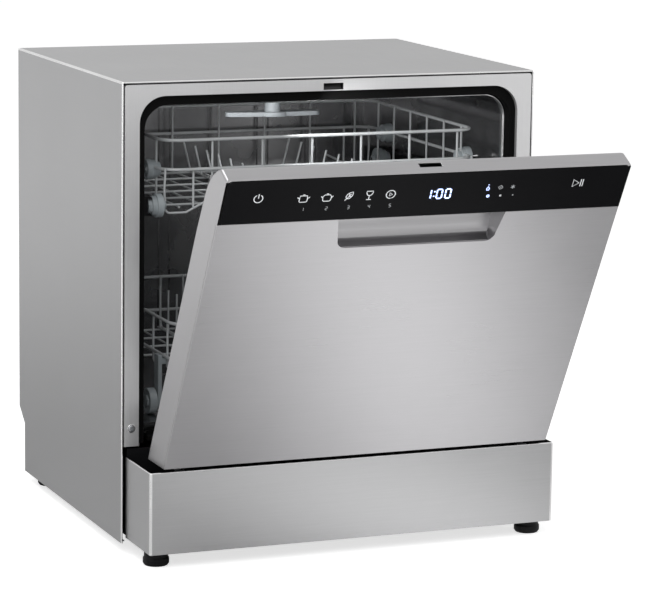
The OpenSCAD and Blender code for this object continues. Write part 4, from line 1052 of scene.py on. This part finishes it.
def makeStrip(s):
    z = s["iconZ"]
    plain, round_ = s["pots"]
    icons = powerIcon(s["power"], z + 2) + potIcon(plain, z, 0.5, 0) + potIcon(round_, z, 1.4, 0.6)
    icons += leafIcon(s["leaf"], z) + gobletIcon(s["goblet"], z) + clockIcon(s["clock"], z)
    icons += playIcon(s["play"], z + 4.6)
    printOnStrip("stripIcons", icons, s["line"], "printWhite")
    numbers = []
    for i, x in enumerate(s["numbers"]):
        numbers += segmentDigit(str(i + 1), x, s["numberZ"], s["numberHigh"], 0.7)
    printOnStrip("stripNumbers", numbers, 0.7, "printGrey")
    base = s["digitZ"]
    digits = []
    for char, x in (("1", s["one"]), ("0", s["zeros"][0]), ("0", s["zeros"][1])):
        digits += segmentDigit(char, x, base, s["digitHigh"], 2, s["slant"])
    digits += placed(s["colon"], base, ("open", (0, 9.3), (0, 11)),
                     ("open", (-0.1, 2.6), (-0.1, 4.3)))
    printOnStrip("displayDigits", digits, s["digitLine"], "displayBlue")
    z = s["smallZ"]
    lit = dropIcon(s["drop"], z) + discOnStrip(*s["lit"], 2.9)
    printOnStrip("litIcon", lit, 1.45, "ledBlue")
    grey = swirlIcon(s["swirl"], z) + starIcon(s["star"], z) + discOnStrip(*s["grey"], 0.9)
    printOnStrip("greyIcons", grey, s["fine"], "printGrey")
    printOnStrip("whiteDot", discOnStrip(*s["white"], 1.9), 0.95, "printWhite")


makeStrip(strip)
print("control strip")


# finish and width of the rounding, by solid
softened = dict(
    front_frame=("frameSteel", 0.8), door_panel=("doorSteel", 0.9), handle_cup=("doorSteel", 0.4),
    control_glass=("controlGlass", 0.3), rear_panel=("zincSteel", 0.4),
    # the latch tongue's near-black steel is painted shade in the latch slot
    door_liner=("tubSteel", 0.5), door_lock=("blackPlastic", 0.3), latch_tongue=("darkSteel", 0.3),
    tub=("tubSteel", 0.3), tub_gasket=("sealRubber", 0.4), lower_seal=("sealRubber", 0.4),
    base_tray=("blackPlastic", 0.5),
    hinge_bracket_left=("zincSteel", 0.3), hinge_bracket_right=("zincSteel", 0.3),
    hinge_arm_left=("zincSteel", 0.3), hinge_arm_right=("zincSteel", 0.3),
    upper_rail_left=("blackPlastic", 0.4), upper_rail_right=("blackPlastic", 0.4),
    dispenser_body=("whitePlastic", 0.4), dispenser_lid=("greyPlastic", 0.5),
    rinse_cap=("greyPlastic", 0.5), filter_cup=("greyPlastic", 0.3), salt_cap=("whitePlastic", 0.6),
    filter_plate=("tubSteel", 0.2), lower_brackets=("wheelPlastic", 0.4),
    sump=("whitePlastic", 0.5), middle_arm_feed=("whitePlastic", 0.5),
    riser_duct=("whitePlastic", 0.6), lower_spray_arm=("greyPlastic", 0.8),
    middle_spray_arm=("greyPlastic", 0.8), ceiling_spray_arm=("greyPlastic", 0.8),
)
fourCorners = ("front_left", "front_right", "rear_left", "rear_right")
for corner in fourCorners:
    softened["foot_" + corner] = ("blackPlastic", 0.5)
for rack in ("upper", "lower"):
    for corner in fourCorners:
        softened[rack + "_roller_" + corner] = ("wheelPlastic", 0.5)
doorEdge = dict(width=0.6, rimWidth=3.4, side=258.9, top=513.5)


def onDoorEdge(x, y, z):
    # the long corners at the closed door's upper sides
    return abs(x) > doorEdge["side"] and z > doorEdge["top"]


for node, (finish, width) in softened.items():
    dressed(node, finish, width)
dressed("door_casing", "doorSteel", doorEdge["width"], onDoorEdge, doorEdge["rimWidth"])
print("softened solids", len(softened))

# solids shown as they are
plainNodes = dict(
    heater="zincSteel", wash_pump="pumpCast", drain_pump="whitePlastic",
    inlet_valve="whitePlastic", air_break="whitePlastic", softener="whitePlastic",
    float_switch="whitePlastic", drain_outlet="blackPlastic", cord_gland="blackPlastic",
    control_board="circuitBoard", display_module="blackPlastic",
)
for node, finish in plainNodes.items():
    item = frame["nodes"][node]
    item.data.materials.clear()
    item.data.materials.append(finishes[finish])

print("finished pieces")
